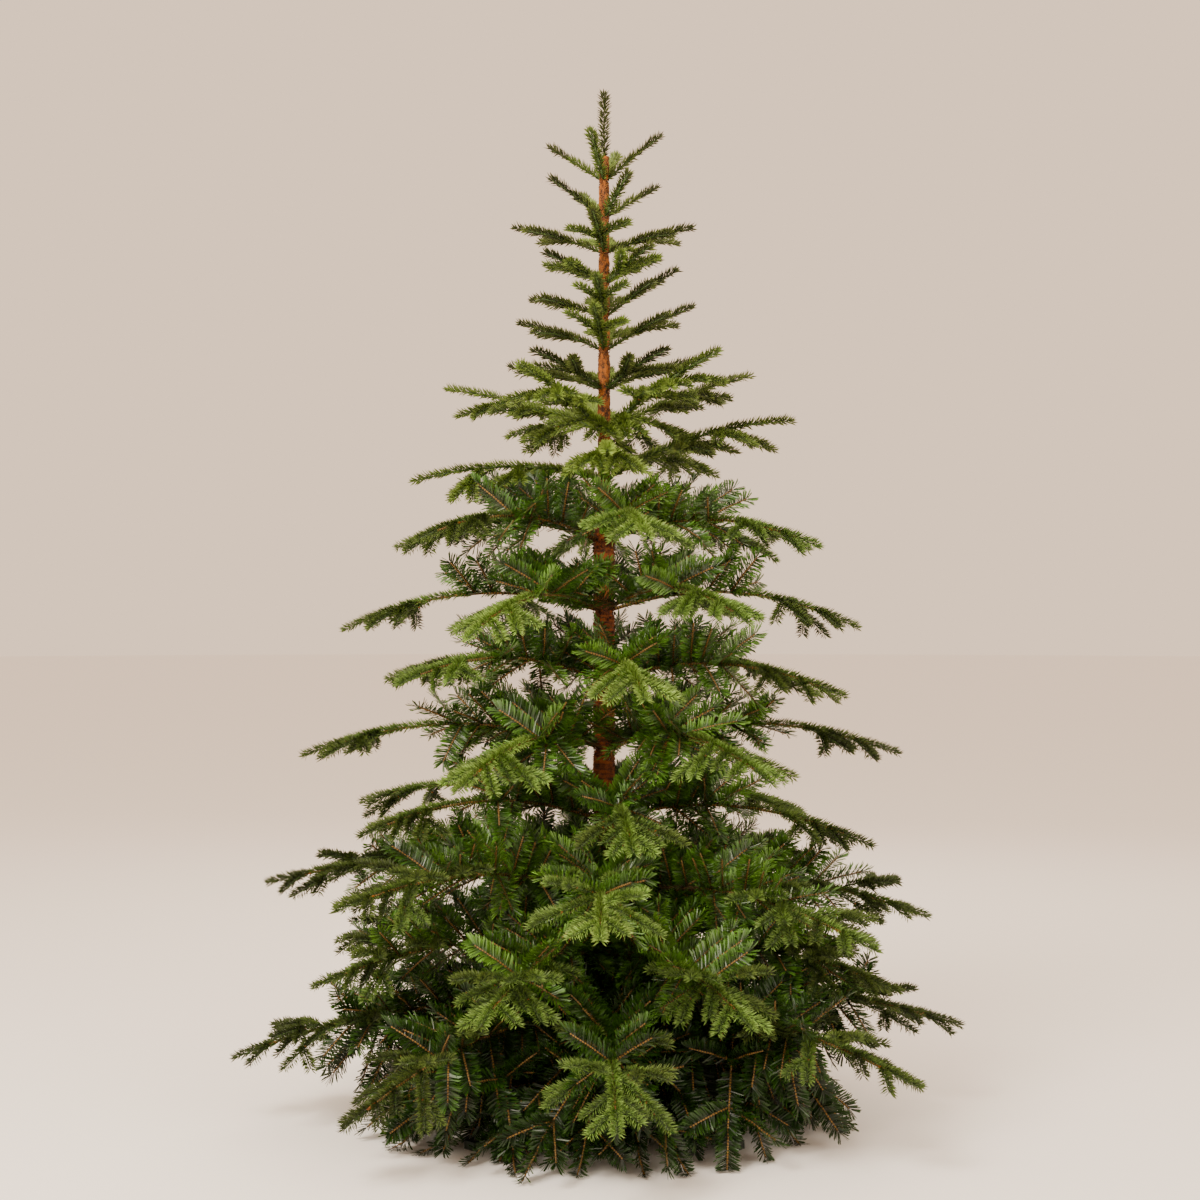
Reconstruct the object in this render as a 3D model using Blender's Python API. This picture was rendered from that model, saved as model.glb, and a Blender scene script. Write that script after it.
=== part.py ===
"""An artificial fir, 2.286 m (7 ft 6 in) tall, standing on its own folding steel stand.

A wrapped pole runs whole from the stand's socket to the leader. Seventeen tiers of boughs
stand round it. The two widest lower tiers have a bare limb for each bough, with its foliage
beyond it. The foliage of every other bough starts at the pole. Where a tier is one solid,
its boughs leave a collar that encircles the pole.

Metres, +Z up. The origin is on the floor under the pole. A turn of 0 faces -Y, and turns
grow towards +X.
"""

import math
import random
from collections import namedtuple

import bmesh
import bpy
from mathutils import Matrix, Vector

GAP = 0.0003  # clearance between two solids that touch
UP = Vector((0, 0, 1))

# The pole: a bare steel foot, a bark-wrapped lower length and a thinner wrapped top length.
TREE_HEIGHT = 2.286
POLE_SIDES = 24
POLE_FOOT_Z = 0.0333
BARE_POLE_RADIUS = 0.016
WRAP_FOOT_Z = 0.180
LOWER_WRAP_RADIUS = 0.0225
SHOULDER_LOW_Z = 1.330
SHOULDER_HIGH_Z = 1.365
UPPER_WRAP_RADIUS = 0.0125
POLE_TOP_Z = 2.138
POLE_TOP_RADIUS = 0.0085

# The stand: a socket tube with a stop ring, two crossing pairs of legs, three clamp screws.
SOCKET_SIDES = 12
SOCKET_INNER_RADIUS = 0.0172
SOCKET_RADIUS = 0.0205
SOCKET_FLOOR_Z = 0.030
SOCKET_TOP_Z = 0.165
SOCKET_FLOOR_THICK = POLE_FOOT_Z - GAP - SOCKET_FLOOR_Z
STOP_RING_RADIUS = 0.027
STOP_RING_Z = 0.058
STOP_RING_THICK = 0.006
HUB_RADIUS = 0.027
HUB_HEIGHT = 0.022
LEG_TURNS = (45.0, 135.0)
LEG_WIDTH = 0.020
LEG_THICK = 0.012
LEG_REACH = 0.375
LEG_BEND_START = 0.060
LEG_BEND_END = 0.085
LEG_BEND_DROP = 0.004
FOOT_LENGTH = 0.050
FOOT_WIDTH = 0.032
FOOT_HEIGHT = 0.018
SCREW_Z = 0.146
SCREW_RADIUS = 0.0032
SCREW_TURNS = (0.0, 120.0, 240.0)
KNOB_SIDES = 10
KNOB_RADIUS = 0.010
KNOB_START = 0.034
KNOB_LENGTH = 0.012

# The boughs
COLLAR_WALL = 0.005
COLLAR_HEIGHT = 0.014
STEM_SIDES = 3
LIMB_SIDES = 6
LIMB_SHARE = 0.36  # how much of a bough's reach its bare limb takes
LIMB_ROOT_RADIUS = 0.0062
LIMB_TIP_RADIUS = 0.0042
STEM_TIP_RADIUS = 0.0024
STEM_END_DEPTH = 0.012  # how far a stem runs into its end spray
CURVE_STEPS = 3
EVEN_SPACE = 0.5  # where a tier's foliage gives way to the next one up, as a share of the gap
INNER_SPACE = 0.7  # as above, for a tier with inner sprays, which stand high
TOP_ROOM = 0.08
FOOT_ROOM = 0.10
CLEAR = 0.002  # how far foliage keeps inside its own space
POLE_CLEAR = 0.0035
LEAST_HEIGHT = 0.030  # foliage keeps this far above the floor
REACH_JITTER = 0.025
TURN_JITTER = 2.5
RISE_JITTER = 0.03  # of the reach

# The sprays: one ends the bough, pairs leave its outer part, longer ones rise from its inner
# part. Swings are angles from the bough in plan, and rolls are turns about a spray's own length.
END_LENGTH = 0.150
END_WIDTH = 0.060
END_ROLL = (-30, 30)
SIDE_LENGTH = 0.130
SIDE_WIDTH = 0.050
SIDE_SWING = (44, 54)
SIDE_ROLL = (30, 50)
SIDE_STAGGER = 0.03
PAIR_START = 0.05
PAIR_STEP = 0.22
PAIR_TILT = 0.12
INNER_LENGTH = 0.165
INNER_WIDTH = 0.080
INNER_SWING = (26, 40)
INNER_ROLL = (35, 60)
INNER_TILT = 0.45
EASINGS = (0, 0.2, 0.4)  # how much flatter a spray is laid, tried in turn
BLADE_HALF_THICK = 0.0042
ROOT_HALF_THICK = 0.0012
SLEEVE_HALF_WIDTH = 0.0046
SLEEVE_HALF_THICK = 0.0038
TOOTH_LEAN = 0.80  # where each tooth's point lies in its share of the blade
NOTCH_LEAN = 0.92
NOTCH_WIDTH = 0.16

# The leader
LEADER_CORE_SHARE = 0.8
LEADER_ROOT_RADIUS = 0.0045
LEADER_TIP_RADIUS = 0.002
LEADER_BARE = 0.010
LEADER_WIDTH = 0.034
LEADER_TEETH = 4

# root height, reach, starting slope, how far it sags, how much higher the right-hand boughs end
# than the middle ones, boughs, first turn, pairs of side sprays, where inner sprays root
Tier = namedtuple("Tier", "height reach lift sag slant boughs first_turn pairs inner")
WELL_IN = (0.26, 0.46)
PAST_LIMB = (0.40, 0.54)
TIERS = (
    Tier(2.085, 0.125, 0.72, 0.06, 0.004, 4, -15, 0, ()),
    Tier(2.003, 0.130, 0.62, 0.08, 0.000, 4, 25, 0, ()),
    Tier(1.925, 0.195, 0.40, 0.12, 0.000, 4, -5, 1, ()),
    Tier(1.855, 0.155, 0.52, 0.12, 0.010, 4, 40, 1, ()),
    Tier(1.783, 0.160, 0.55, 0.15, 0.030, 4, -5, 1, ()),
    Tier(1.708, 0.190, 0.55, 0.15, 0.015, 4, 85, 1, ()),
    Tier(1.620, 0.225, 0.42, 0.14, 0.005, 5, 34, 1, ()),
    Tier(1.528, 0.370, 0.46, 0.14, 0.030, 5, 42, 2, ()),
    Tier(1.420, 0.430, 0.38, 0.28, 0.070, 5, 0, 2, ()),
    Tier(1.285, 0.500, 0.38, 0.41, -0.008, 6, 8, 1, WELL_IN),
    Tier(1.130, 0.565, 0.34, 0.38, 0.008, 6, -30, 1, WELL_IN),
    Tier(0.975, 0.545, 0.36, 0.38, -0.015, 6, 6, 1, WELL_IN),
    Tier(0.825, 0.655, 0.32, 0.32, 0.000, 6, -28, 1, WELL_IN),
    Tier(0.665, 0.610, 0.35, 0.34, -0.020, 6, 6, 1, WELL_IN),
    Tier(0.500, 0.738, 0.30, 0.30, -0.032, 8, 1, 1, PAST_LIMB),
    Tier(0.360, 0.665, 0.31, 0.35, 0.000, 8, -20, 1, WELL_IN),
    Tier(0.225, 0.815, 0.22, 0.29, 0.025, 8, 4, 1, PAST_LIMB),
)
# Places in TIERS, counted from 0. In a split tier each bough's foliage is a node of its own,
# from the pole out. In a limb tier it is too, but each bough starts with a bare limb.
SPLIT_TIERS = (12,)
LIMB_TIERS = (14, 16)

COLOURS = {  # base colour, roughness, metallic
    "needles": ((0.09, 0.19, 0.05, 1), 0.55, 0.0),
    "bark_wrap": ((0.27, 0.10, 0.035, 1), 0.9, 0.0),
    "stand_steel": ((0.03, 0.045, 0.035, 1), 0.45, 0.0),
    "zinc_screw": ((0.55, 0.55, 0.56, 1), 0.35, 1.0),
}


def clear_scene():
    for old in list(bpy.data.objects):
        bpy.data.objects.remove(old, do_unlink=True)


def material(name):
    found = bpy.data.materials.get(name)
    if found:
        return found
    made = bpy.data.materials.new(name)
    made.use_nodes = True
    shader = made.node_tree.nodes["Principled BSDF"]
    colour, roughness, metallic = COLOURS[name]
    shader.inputs["Base Color"].default_value = colour
    shader.inputs["Roughness"].default_value = roughness
    shader.inputs["Metallic"].default_value = metallic
    return made


def outward(turn):
    """The level direction that a turn in degrees faces."""
    angle = math.radians(turn)
    return Vector((math.sin(angle), -math.cos(angle), 0))


def mesh_object(name, bm, slot, smooth=False):
    """A mesh object of bm, its faces turned outwards."""
    bmesh.ops.recalc_face_normals(bm, faces=bm.faces[:])
    mesh = bpy.data.meshes.new(name)
    bm.to_mesh(mesh)
    bm.free()
    mesh.materials.append(material(slot))
    if smooth:
        mesh.shade_smooth()
        mesh.set_sharp_from_angle(angle=math.radians(35))
    made = bpy.data.objects.new(name, mesh)
    bpy.context.scene.collection.objects.link(made)
    return made


def applied(target, modifier):
    """Replaces the target's mesh by what its one modifier makes of it."""
    graph = bpy.context.evaluated_depsgraph_get()
    mesh = bpy.data.meshes.new_from_object(target.evaluated_get(graph))
    target.modifiers.remove(modifier)
    target.data = mesh


def joined(first, others):
    """One solid: first with every other one fused on by a single Boolean union."""
    group = bpy.data.collections.new(first.name + "_parts")
    bpy.context.scene.collection.children.link(group)
    for other in others:
        bpy.context.scene.collection.objects.unlink(other)
        group.objects.link(other)
    union = first.modifiers.new("Join", "BOOLEAN")
    union.operation = "UNION"
    union.operand_type = "COLLECTION"
    union.collection = group
    union.solver = "MANIFOLD"
    applied(first, union)
    for other in others:
        bpy.data.objects.remove(other, do_unlink=True)
    bpy.data.collections.remove(group)
    return first


def turned(name, profile, sides, slot):
    """A solid of revolution about +Z. The profile is a closed loop of (radius, height)."""
    bm = bmesh.new()
    corners = [bm.verts.new((radius, 0, height)) for radius, height in profile]
    edges = [bm.edges.new(pair) for pair in zip(corners, corners[1:])]
    if profile[0][0] > 0:
        edges.append(bm.edges.new((corners[-1], corners[0])))
    bmesh.ops.spin(
        bm, geom=corners + edges, cent=(0, 0, 0), axis=UP, angle=math.tau, steps=sides,
        use_merge=True,
    )
    bmesh.ops.remove_doubles(bm, verts=bm.verts[:], dist=0.00001)
    return mesh_object(name, bm, slot, smooth=True)


def swept(name, points, sections, slot, smooth=False):
    """A solid with one section for each point; a section is a list of (across, over) offsets.

    The path lies in one upright plane, so each section's over direction stays in it.
    """
    bm = bmesh.new()
    level = Vector((points[-1].x - points[0].x, points[-1].y - points[0].y, 0)).normalized()
    across = level.cross(UP)
    rings = []
    for i, (point, section) in enumerate(zip(points, sections)):
        before, after = points[max(i - 1, 0)], points[min(i + 1, len(points) - 1)]
        over = across.cross((after - before).normalized())
        rings.append([bm.verts.new(point + across * a + over * b) for a, b in section])
    for ring, following in zip(rings, rings[1:]):
        count = len(ring)
        for k in range(count):
            bm.faces.new((ring[k], ring[(k + 1) % count], following[(k + 1) % count], following[k]))
    bm.faces.new(rings[0])
    bm.faces.new(rings[-1])
    return mesh_object(name, bm, slot, smooth)


def round_section(radius, sides):
    turns = [math.tau * (k + 0.25) / sides for k in range(sides)]
    return [(radius * math.cos(t), radius * math.sin(t)) for t in turns]


def flat_section(width, thick):
    return [(a * width / 2, b * thick / 2) for a, b in ((-1, -1), (1, -1), (1, 1), (-1, 1))]


def tapering_stem(name, points, start_radius, end_radius, sides, slot):
    """A limb that narrows evenly from its first point to its last."""
    last = len(points) - 1
    radii = [start_radius + (end_radius - start_radius) * i / last for i in range(last + 1)]
    return swept(name, points, [round_section(r, sides) for r in radii], slot)


def needle_blade(root, along, flat, length, width, teeth, sleeve):
    """A spray of needles: a toothed blade, ridged along its middle and sharp at its edge.

    It points along, and its teeth lie in the direction flat. On each side a tooth leans
    forward to its point, and the notch after it lies level with the next point of the ridge.
    A blade with a sleeve takes in the end of its stem; one without is rooted inside a stem.
    """
    along = along.normalized()
    flat = (flat - along * flat.dot(along)).normalized()
    ridge_way = along.cross(flat)
    bm = bmesh.new()

    def corner(share, out, over):
        return bm.verts.new(root + along * (length * share) + flat * out + ridge_way * over)

    root_thick = SLEEVE_HALF_THICK if sleeve else ROOT_HALF_THICK
    notch_shares = [(k + NOTCH_LEAN) / teeth for k in range(teeth - 1)]
    ridges = {}
    for face in (1, -1):
        ridges[face] = [corner(0, 0, face * root_thick)]
        for share in notch_shares:
            ridges[face].append(corner(share, 0, face * BLADE_HALF_THICK * (1 - share ** 2)))
    top, under = ridges[1], ridges[-1]
    tip = corner(1, 0, 0)
    starts = []
    for side in (1, -1):
        notch = corner(0, side * SLEEVE_HALF_WIDTH, 0) if sleeve else None
        starts.append(notch)
        for k in range(teeth):
            fullness = 1 - 0.5 * ((k + 0.4) / teeth) ** 2
            tooth = corner((k + TOOTH_LEAN) / teeth, side * width / 2 * fullness, 0)
            if notch is None:
                bm.faces.new((top[k], under[k], tooth))
            else:
                bm.faces.new((top[k], notch, tooth))
                bm.faces.new((under[k], notch, tooth))
            if k == teeth - 1:
                bm.faces.new((top[k], tooth, tip))
                bm.faces.new((under[k], tooth, tip))
                break
            notch = corner(notch_shares[k], side * width * NOTCH_WIDTH * fullness, 0)
            for ridge in (top, under):
                bm.faces.new((ridge[k], tooth, ridge[k + 1]))
                bm.faces.new((tooth, notch, ridge[k + 1]))
    if sleeve:
        bm.faces.new((top[0], starts[0], under[0], starts[1]))
    return mesh_object("blade", bm, "needles")


class Bough:
    """One bough's course: it leaves the pole on a slope and sags towards its tip.

    The root is the distance from the pole's axis at which it starts. A share is how far
    along the level way from its root to its tip a point lies.
    """

    def __init__(self, tier_index, number, root):
        tier = TIERS[tier_index]
        chance = random.Random(100 * tier_index + number)
        self.tier = tier
        self.turn = tier.first_turn + 360 * number / tier.boughs
        self.turn += chance.uniform(-TURN_JITTER, TURN_JITTER)
        self.root = root
        self.reach = tier.reach * (1 + chance.uniform(-REACH_JITTER, REACH_JITTER))
        self.rise = tier.reach * chance.uniform(-RISE_JITTER, RISE_JITTER)
        self.rise += tier.slant * outward(self.turn).x
        self.chance = chance

    def at(self, share):
        tier = self.tier
        height = tier.height + tier.reach * (tier.lift * share - tier.sag * share ** 2)
        distance = self.root + (self.reach - self.root) * share
        return outward(self.turn) * distance + UP * (height + self.rise * share)

    def along(self, share):
        step = 0.02
        return (self.at(share + step) - self.at(share - step)).normalized()

    def share_at(self, distance):
        return (distance - self.root) / (self.reach - self.root)

    def stand_off(self, radius, sides, end_share):
        """Moves the root out until the slanted end of a first length clears the pole."""
        first = (self.at(end_share / CURVE_STEPS) - self.at(0)).normalized()
        self.root += first.z * max(over for _, over in round_section(radius, sides))


def course(tier_index, point):
    """The height of a tier's own boughs under or over a point, leaving out chance."""
    tier = TIERS[tier_index]
    distance = math.hypot(point.x, point.y)
    share = min(distance / tier.reach, 1)
    height = tier.height + tier.reach * (tier.lift * share - tier.sag * share ** 2)
    return height + tier.slant * share * point.x / max(distance, GAP)


def border(lower_index, upper_index, point):
    """The height at a point where the foliage of one tier gives way to that of the next one up.

    Beyond a tier's reach, it leaves more and more of the room there to the other one.
    """
    lower, upper = TIERS[lower_index], TIERS[upper_index]
    distance = math.hypot(point.x, point.y)
    low = course(lower_index, point) - max(distance - lower.reach, 0)
    high = course(upper_index, point) + max(distance - upper.reach, 0)
    return low + (high - low) * (INNER_SPACE if lower.inner else EVEN_SPACE)


def below_and_above(tier_index, point):
    """The heights between which a tier's foliage stays at a point."""
    if tier_index + 1 < len(TIERS):
        low = border(tier_index + 1, tier_index, point) + CLEAR
    else:
        low = course(tier_index, point) - FOOT_ROOM
    if tier_index > 0:
        high = border(tier_index, tier_index - 1, point) - CLEAR
    else:
        high = course(tier_index, point) + TOP_ROOM
    return max(low, LEAST_HEIGHT), high


def in_space(point, tier_index, turn, half_angle, least_radius):
    """Whether a point lies in the space of a bough's foliage."""
    low, high = below_and_above(tier_index, point)
    if not (least_radius < math.hypot(point.x, point.y) and low < point.z < high):
        return False
    if half_angle is None:
        return True
    off = math.radians(half_angle)
    facing, beside = point.dot(outward(turn)), abs(point.dot(outward(turn + 90)))
    return facing * math.sin(off) - beside * math.cos(off) > CLEAR


def spray_size(tier):
    """How much larger the sprays of a wide tier are."""
    return max(1, tier.reach / 0.6)


def end_spray_length(tier):
    return min(END_LENGTH * spray_size(tier), 0.62 * tier.reach)


def spray_rule(bough):
    """Each spray of a bough: (share, swing, tilt, roll, length, width, teeth).

    It roots at that share of the bough. Tilt is how much steeper than the bough it climbs.
    """
    tier = bough.tier
    chance = bough.chance
    size = spray_size(tier)
    end_length = end_spray_length(tier)
    junction = 1 - end_length / bough.reach
    teeth = 3 if tier.reach > 0.7 else 2
    yield junction, 0, 0, chance.uniform(*END_ROLL), end_length, END_WIDTH * size, teeth
    side_length = min(SIDE_LENGTH * size, 0.6 * tier.reach)
    for pair in range(tier.pairs):
        for side in (1, -1):
            share = junction - PAIR_START - PAIR_STEP * pair + SIDE_STAGGER * side
            swing, roll = side * chance.uniform(*SIDE_SWING), side * chance.uniform(*SIDE_ROLL)
            yield share, swing, PAIR_TILT * pair, roll, side_length, SIDE_WIDTH * size, 2
    for k, share in enumerate(tier.inner):
        side = 2 * (k % 2) - 1
        swing, roll = side * chance.uniform(*INNER_SWING), side * chance.uniform(*INNER_ROLL)
        yield share, swing, INNER_TILT, roll, INNER_LENGTH * size, INNER_WIDTH * size, 2


def stem_points(bough, start):
    """The stem's course, from a share of the bough to just inside its end spray."""
    end = 1 - (end_spray_length(bough.tier) - STEM_END_DEPTH) / bough.reach
    return [bough.at(start + (end - start) * k / CURVE_STEPS) for k in range(CURVE_STEPS + 1)]


def on_stem(points, distance):
    """The point of a stem this far from the pole's axis."""
    for here, following in zip(points, points[1:]):
        low, high = math.hypot(here.x, here.y), math.hypot(following.x, following.y)
        if low <= distance <= high:
            return here.lerp(following, (distance - low) / (high - low))
    return None


def sprays(bough, points, tier_index, half_angle, least_radius):
    """The blades that grow on a stem.

    One that would leave the bough's space is laid flatter, and skipped if that fails too.
    """
    kept = []
    for share, swing, tilt, roll, length, width, teeth in spray_rule(bough):
        root = on_stem(points, bough.root + (bough.reach - bough.root) * share)
        if root is None:
            continue
        level = outward(bough.turn + swing)
        slope = bough.along(share + 0.5 * length / bough.reach).z
        for easing in EASINGS:
            along = (level + UP * (slope + tilt - easing)).normalized()
            flat = Matrix.Rotation(math.radians(roll), 3, along) @ along.cross(UP)
            blade = needle_blade(root, along, flat, length, width, teeth, swing == 0)
            outer = [v.co for v in blade.data.vertices if (v.co - root).length > length / 5]
            if all(in_space(co, tier_index, bough.turn, half_angle, least_radius) for co in outer):
                kept.append(blade)
                break
            bpy.data.objects.remove(blade, do_unlink=True)
    return kept


def pole_radius(height):
    """The wrapped pole's outer radius at this height."""
    if height < SHOULDER_LOW_Z:
        return LOWER_WRAP_RADIUS
    share = (height - SHOULDER_HIGH_Z) / (POLE_TOP_Z - SHOULDER_HIGH_Z)
    return UPPER_WRAP_RADIUS + (POLE_TOP_RADIUS - UPPER_WRAP_RADIUS) * max(0, share)


def stem_root_radius(tier):
    """Longer boughs have thicker stems, but none thicker than a limb's tip."""
    return min(0.0026 + 0.0028 * tier.reach, LIMB_TIP_RADIUS)


def build_pole():
    profile = [
        (0, POLE_FOOT_Z),
        (BARE_POLE_RADIUS, POLE_FOOT_Z),
        (BARE_POLE_RADIUS, WRAP_FOOT_Z),
        (LOWER_WRAP_RADIUS, WRAP_FOOT_Z + 0.004),
        (LOWER_WRAP_RADIUS, SHOULDER_LOW_Z),
        (UPPER_WRAP_RADIUS, SHOULDER_HIGH_Z),
        (POLE_TOP_RADIUS, POLE_TOP_Z),
        (0, POLE_TOP_Z),
    ]
    return turned("trunk", profile, POLE_SIDES, "bark_wrap")


def build_leader():
    """The upright spray on top: a slim core with two crossed toothed blades fused to it."""
    foot = POLE_TOP_Z + GAP
    core_length = (TREE_HEIGHT - foot) * LEADER_CORE_SHARE
    bm = bmesh.new()
    bmesh.ops.create_cone(
        bm, cap_ends=True, segments=6, radius1=LEADER_ROOT_RADIUS, radius2=LEADER_TIP_RADIUS,
        depth=core_length,
    )
    bmesh.ops.translate(bm, verts=bm.verts[:], vec=UP * (foot + core_length / 2))
    core = mesh_object("leader", bm, "needles")
    root = UP * (foot + LEADER_BARE)
    length = TREE_HEIGHT - root.z
    blades = [
        needle_blade(root, UP, outward(turn), length, LEADER_WIDTH, LEADER_TEETH, False)
        for turn in (0, 90)
    ]
    return joined(core, blades)


def build_collar(name, tier):
    """A ring round the pole with one flat side for each bough of its tier."""
    inner = pole_radius(tier.height - COLLAR_HEIGHT / 2) + GAP
    outer = inner + COLLAR_WALL
    low, high = tier.height - COLLAR_HEIGHT / 2, tier.height + COLLAR_HEIGHT / 2
    turns = [tier.first_turn + (k + 0.5) * 360 / tier.boughs for k in range(tier.boughs)]
    bm = bmesh.new()
    rings = []
    for flat_radius, height in ((inner, low), (outer, low), (outer, high), (inner, high)):
        radius = flat_radius / math.cos(math.pi / tier.boughs)
        rings.append([bm.verts.new(outward(turn) * radius + UP * height) for turn in turns])
    for ring, following in zip(rings, rings[1:] + rings[:1]):
        for k in range(tier.boughs):
            after = (k + 1) % tier.boughs
            bm.faces.new((ring[k], ring[after], following[after], following[k]))
    return mesh_object(name, bm, "needles")


def build_whorl(tier_index):
    """All the boughs of a tier as one solid, fused to the collar that carries them."""
    tier = TIERS[tier_index]
    collar = build_collar(f"tier{tier_index + 1:02d}_whorl", tier)
    root = pole_radius(tier.height) + GAP + COLLAR_WALL / 2
    clear_of_pole = root + COLLAR_WALL / 2 + POLE_CLEAR
    grown = []
    for number in range(tier.boughs):
        bough = Bough(tier_index, number, root)
        points = stem_points(bough, 0)
        radius = stem_root_radius(tier)
        grown.append(tapering_stem("stem", points, radius, STEM_TIP_RADIUS, STEM_SIDES, "needles"))
        grown += sprays(bough, points, tier_index, None, clear_of_pole)
    return joined(collar, grown)


def build_foliage(bough, tier_index, number, start, least_radius):
    """One bough's foliage as a solid of its own, from a share of the bough out to its tip."""
    name = f"tier{tier_index + 1:02d}_foliage_{number + 1}"
    points = stem_points(bough, start)
    radius = stem_root_radius(bough.tier)
    stem = tapering_stem(name, points, radius, STEM_TIP_RADIUS, STEM_SIDES, "needles")
    half_angle = 180 / bough.tier.boughs
    return joined(stem, sprays(bough, points, tier_index, half_angle, least_radius))


def build_split_tier(tier_index):
    """Foliage that meets the pole, one solid for each bough."""
    tier = TIERS[tier_index]
    for number in range(tier.boughs):
        bough = Bough(tier_index, number, pole_radius(tier.height) + GAP)
        bough.stand_off(stem_root_radius(tier), STEM_SIDES, 1)
        build_foliage(bough, tier_index, number, 0, bough.root + POLE_CLEAR)


def build_limb_tier(tier_index):
    """A bare tapering limb for each bough, and its foliage a gap beyond the limb's tip."""
    tier = TIERS[tier_index]
    for number in range(tier.boughs):
        bough = Bough(tier_index, number, pole_radius(tier.height) + GAP)
        bough.stand_off(LIMB_ROOT_RADIUS, LIMB_SIDES, LIMB_SHARE)
        name = f"tier{tier_index + 1:02d}_bough_{number + 1}"
        points = [bough.at(LIMB_SHARE * k / CURVE_STEPS) for k in range(CURVE_STEPS + 1)]
        tapering_stem(name, points, LIMB_ROOT_RADIUS, LIMB_TIP_RADIUS, LIMB_SIDES, "bark_wrap")
        beyond = math.hypot(points[-1].x, points[-1].y) + 2 * GAP
        build_foliage(bough, tier_index, number, bough.share_at(beyond), beyond + POLE_CLEAR)


def build_socket():
    """The stand's upright tube, with a closed foot, a ring the legs rest on and screw holes."""
    ring_top = STOP_RING_Z + STOP_RING_THICK
    profile = [
        (0, SOCKET_FLOOR_Z),
        (SOCKET_RADIUS, SOCKET_FLOOR_Z),
        (SOCKET_RADIUS, STOP_RING_Z),
        (STOP_RING_RADIUS, STOP_RING_Z),
        (STOP_RING_RADIUS, ring_top),
        (SOCKET_RADIUS, ring_top),
        (SOCKET_RADIUS, SOCKET_TOP_Z),
        (SOCKET_INNER_RADIUS, SOCKET_TOP_Z),
        (SOCKET_INNER_RADIUS, SOCKET_FLOOR_Z + SOCKET_FLOOR_THICK),
        (0, SOCKET_FLOOR_Z + SOCKET_FLOOR_THICK),
    ]
    socket = turned("stand_socket", profile, SOCKET_SIDES, "stand_steel")
    overrun = SCREW_RADIUS
    for turn in SCREW_TURNS:
        start, end = SOCKET_INNER_RADIUS - overrun, SOCKET_RADIUS + overrun
        drill = rod("drill", turn, start, end, SCREW_RADIUS + GAP, "stand_steel")
        hole = socket.modifiers.new("Hole", "BOOLEAN")
        hole.operation = "DIFFERENCE"
        hole.object = drill
        applied(socket, hole)
        bpy.data.objects.remove(drill, do_unlink=True)
    return socket


def rod(name, turn, start, end, radius, slot, sides=8):
    """A rod at the screws' height, between two distances from the pole's axis."""
    points = [outward(turn) * distance + UP * SCREW_Z for distance in (start, end)]
    return swept(name, points, [round_section(radius, sides)] * 2, slot)


def build_screws():
    knob_end = KNOB_START + KNOB_LENGTH
    for number, turn in enumerate(SCREW_TURNS):
        name = f"stand_screw_{number + 1}"
        start, end = BARE_POLE_RADIUS + GAP, KNOB_START + KNOB_LENGTH / 2
        shank = rod(name, turn, start, end, SCREW_RADIUS, "zinc_screw")
        knob = rod("knob", turn, KNOB_START, knob_end, KNOB_RADIUS, "zinc_screw", KNOB_SIDES)
        joined(shank, [knob])


def build_leg_pair(name, turn, hub_z):
    """Two opposite legs on one hub, which slips over the socket. Each ends in a flat foot."""
    inner, hub_top = SOCKET_RADIUS + GAP, hub_z + HUB_HEIGHT
    profile = [(inner, hub_z), (HUB_RADIUS, hub_z), (HUB_RADIUS, hub_top), (inner, hub_top)]
    hub = turned(name, profile, SOCKET_SIDES, "stand_steel")
    middle = (hub_z + hub_top) / 2
    leg_course = (
        ((inner + HUB_RADIUS) / 2, middle),
        (LEG_BEND_START, middle),
        (LEG_BEND_END, middle - LEG_BEND_DROP),
        (LEG_REACH - FOOT_LENGTH, FOOT_HEIGHT),
        (LEG_REACH, FOOT_HEIGHT / 2),
    )
    foot_course = [
        (LEG_REACH - FOOT_LENGTH / 2, FOOT_HEIGHT / 2), (LEG_REACH + FOOT_LENGTH / 2, FOOT_HEIGHT / 2),
    ]
    pieces = []
    for way in (outward(turn), outward(turn + 180)):
        for course_points, width, thick in (
            (leg_course, LEG_WIDTH, LEG_THICK), (foot_course, FOOT_WIDTH, FOOT_HEIGHT),
        ):
            points = [way * distance + UP * height for distance, height in course_points]
            section = flat_section(width, thick)
            pieces.append(swept("leg", points, [section] * len(points), "stand_steel"))
    return joined(hub, pieces)


def build_stand():
    build_socket()
    build_screws()
    lower_hub = STOP_RING_Z + STOP_RING_THICK + GAP
    build_leg_pair("stand_legs_lower", LEG_TURNS[0], lower_hub)
    build_leg_pair("stand_legs_upper", LEG_TURNS[1], lower_hub + HUB_HEIGHT + GAP)


def main():
    clear_scene()
    build_stand()
    build_pole()
    build_leader()
    for tier_index in range(len(TIERS)):
        if tier_index in LIMB_TIERS:
            build_limb_tier(tier_index)
        elif tier_index in SPLIT_TIERS:
            build_split_tier(tier_index)
        else:
            build_whorl(tier_index)


main()
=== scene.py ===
"""The dressed fir: pole wrap, limbs, twigs, buds and needles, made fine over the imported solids.

Each bough follows the course of its solid, by the same rule and the same draws. Its outer part
and its side twigs carry short moulded needles, as on the real tree's moulded tips. Its inner
part carries longer flat needles on twisted wires, most of which rise in pairs.

Metres and degrees, +Z up, the pole on the Z axis. A turn of 0 faces -Y, and turns grow towards
+X. A share is a part of the way along, from 0 to 1. Values in brackets are the ends of a draw.
"""

import itertools
import math
import random
from collections import namedtuple

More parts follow.
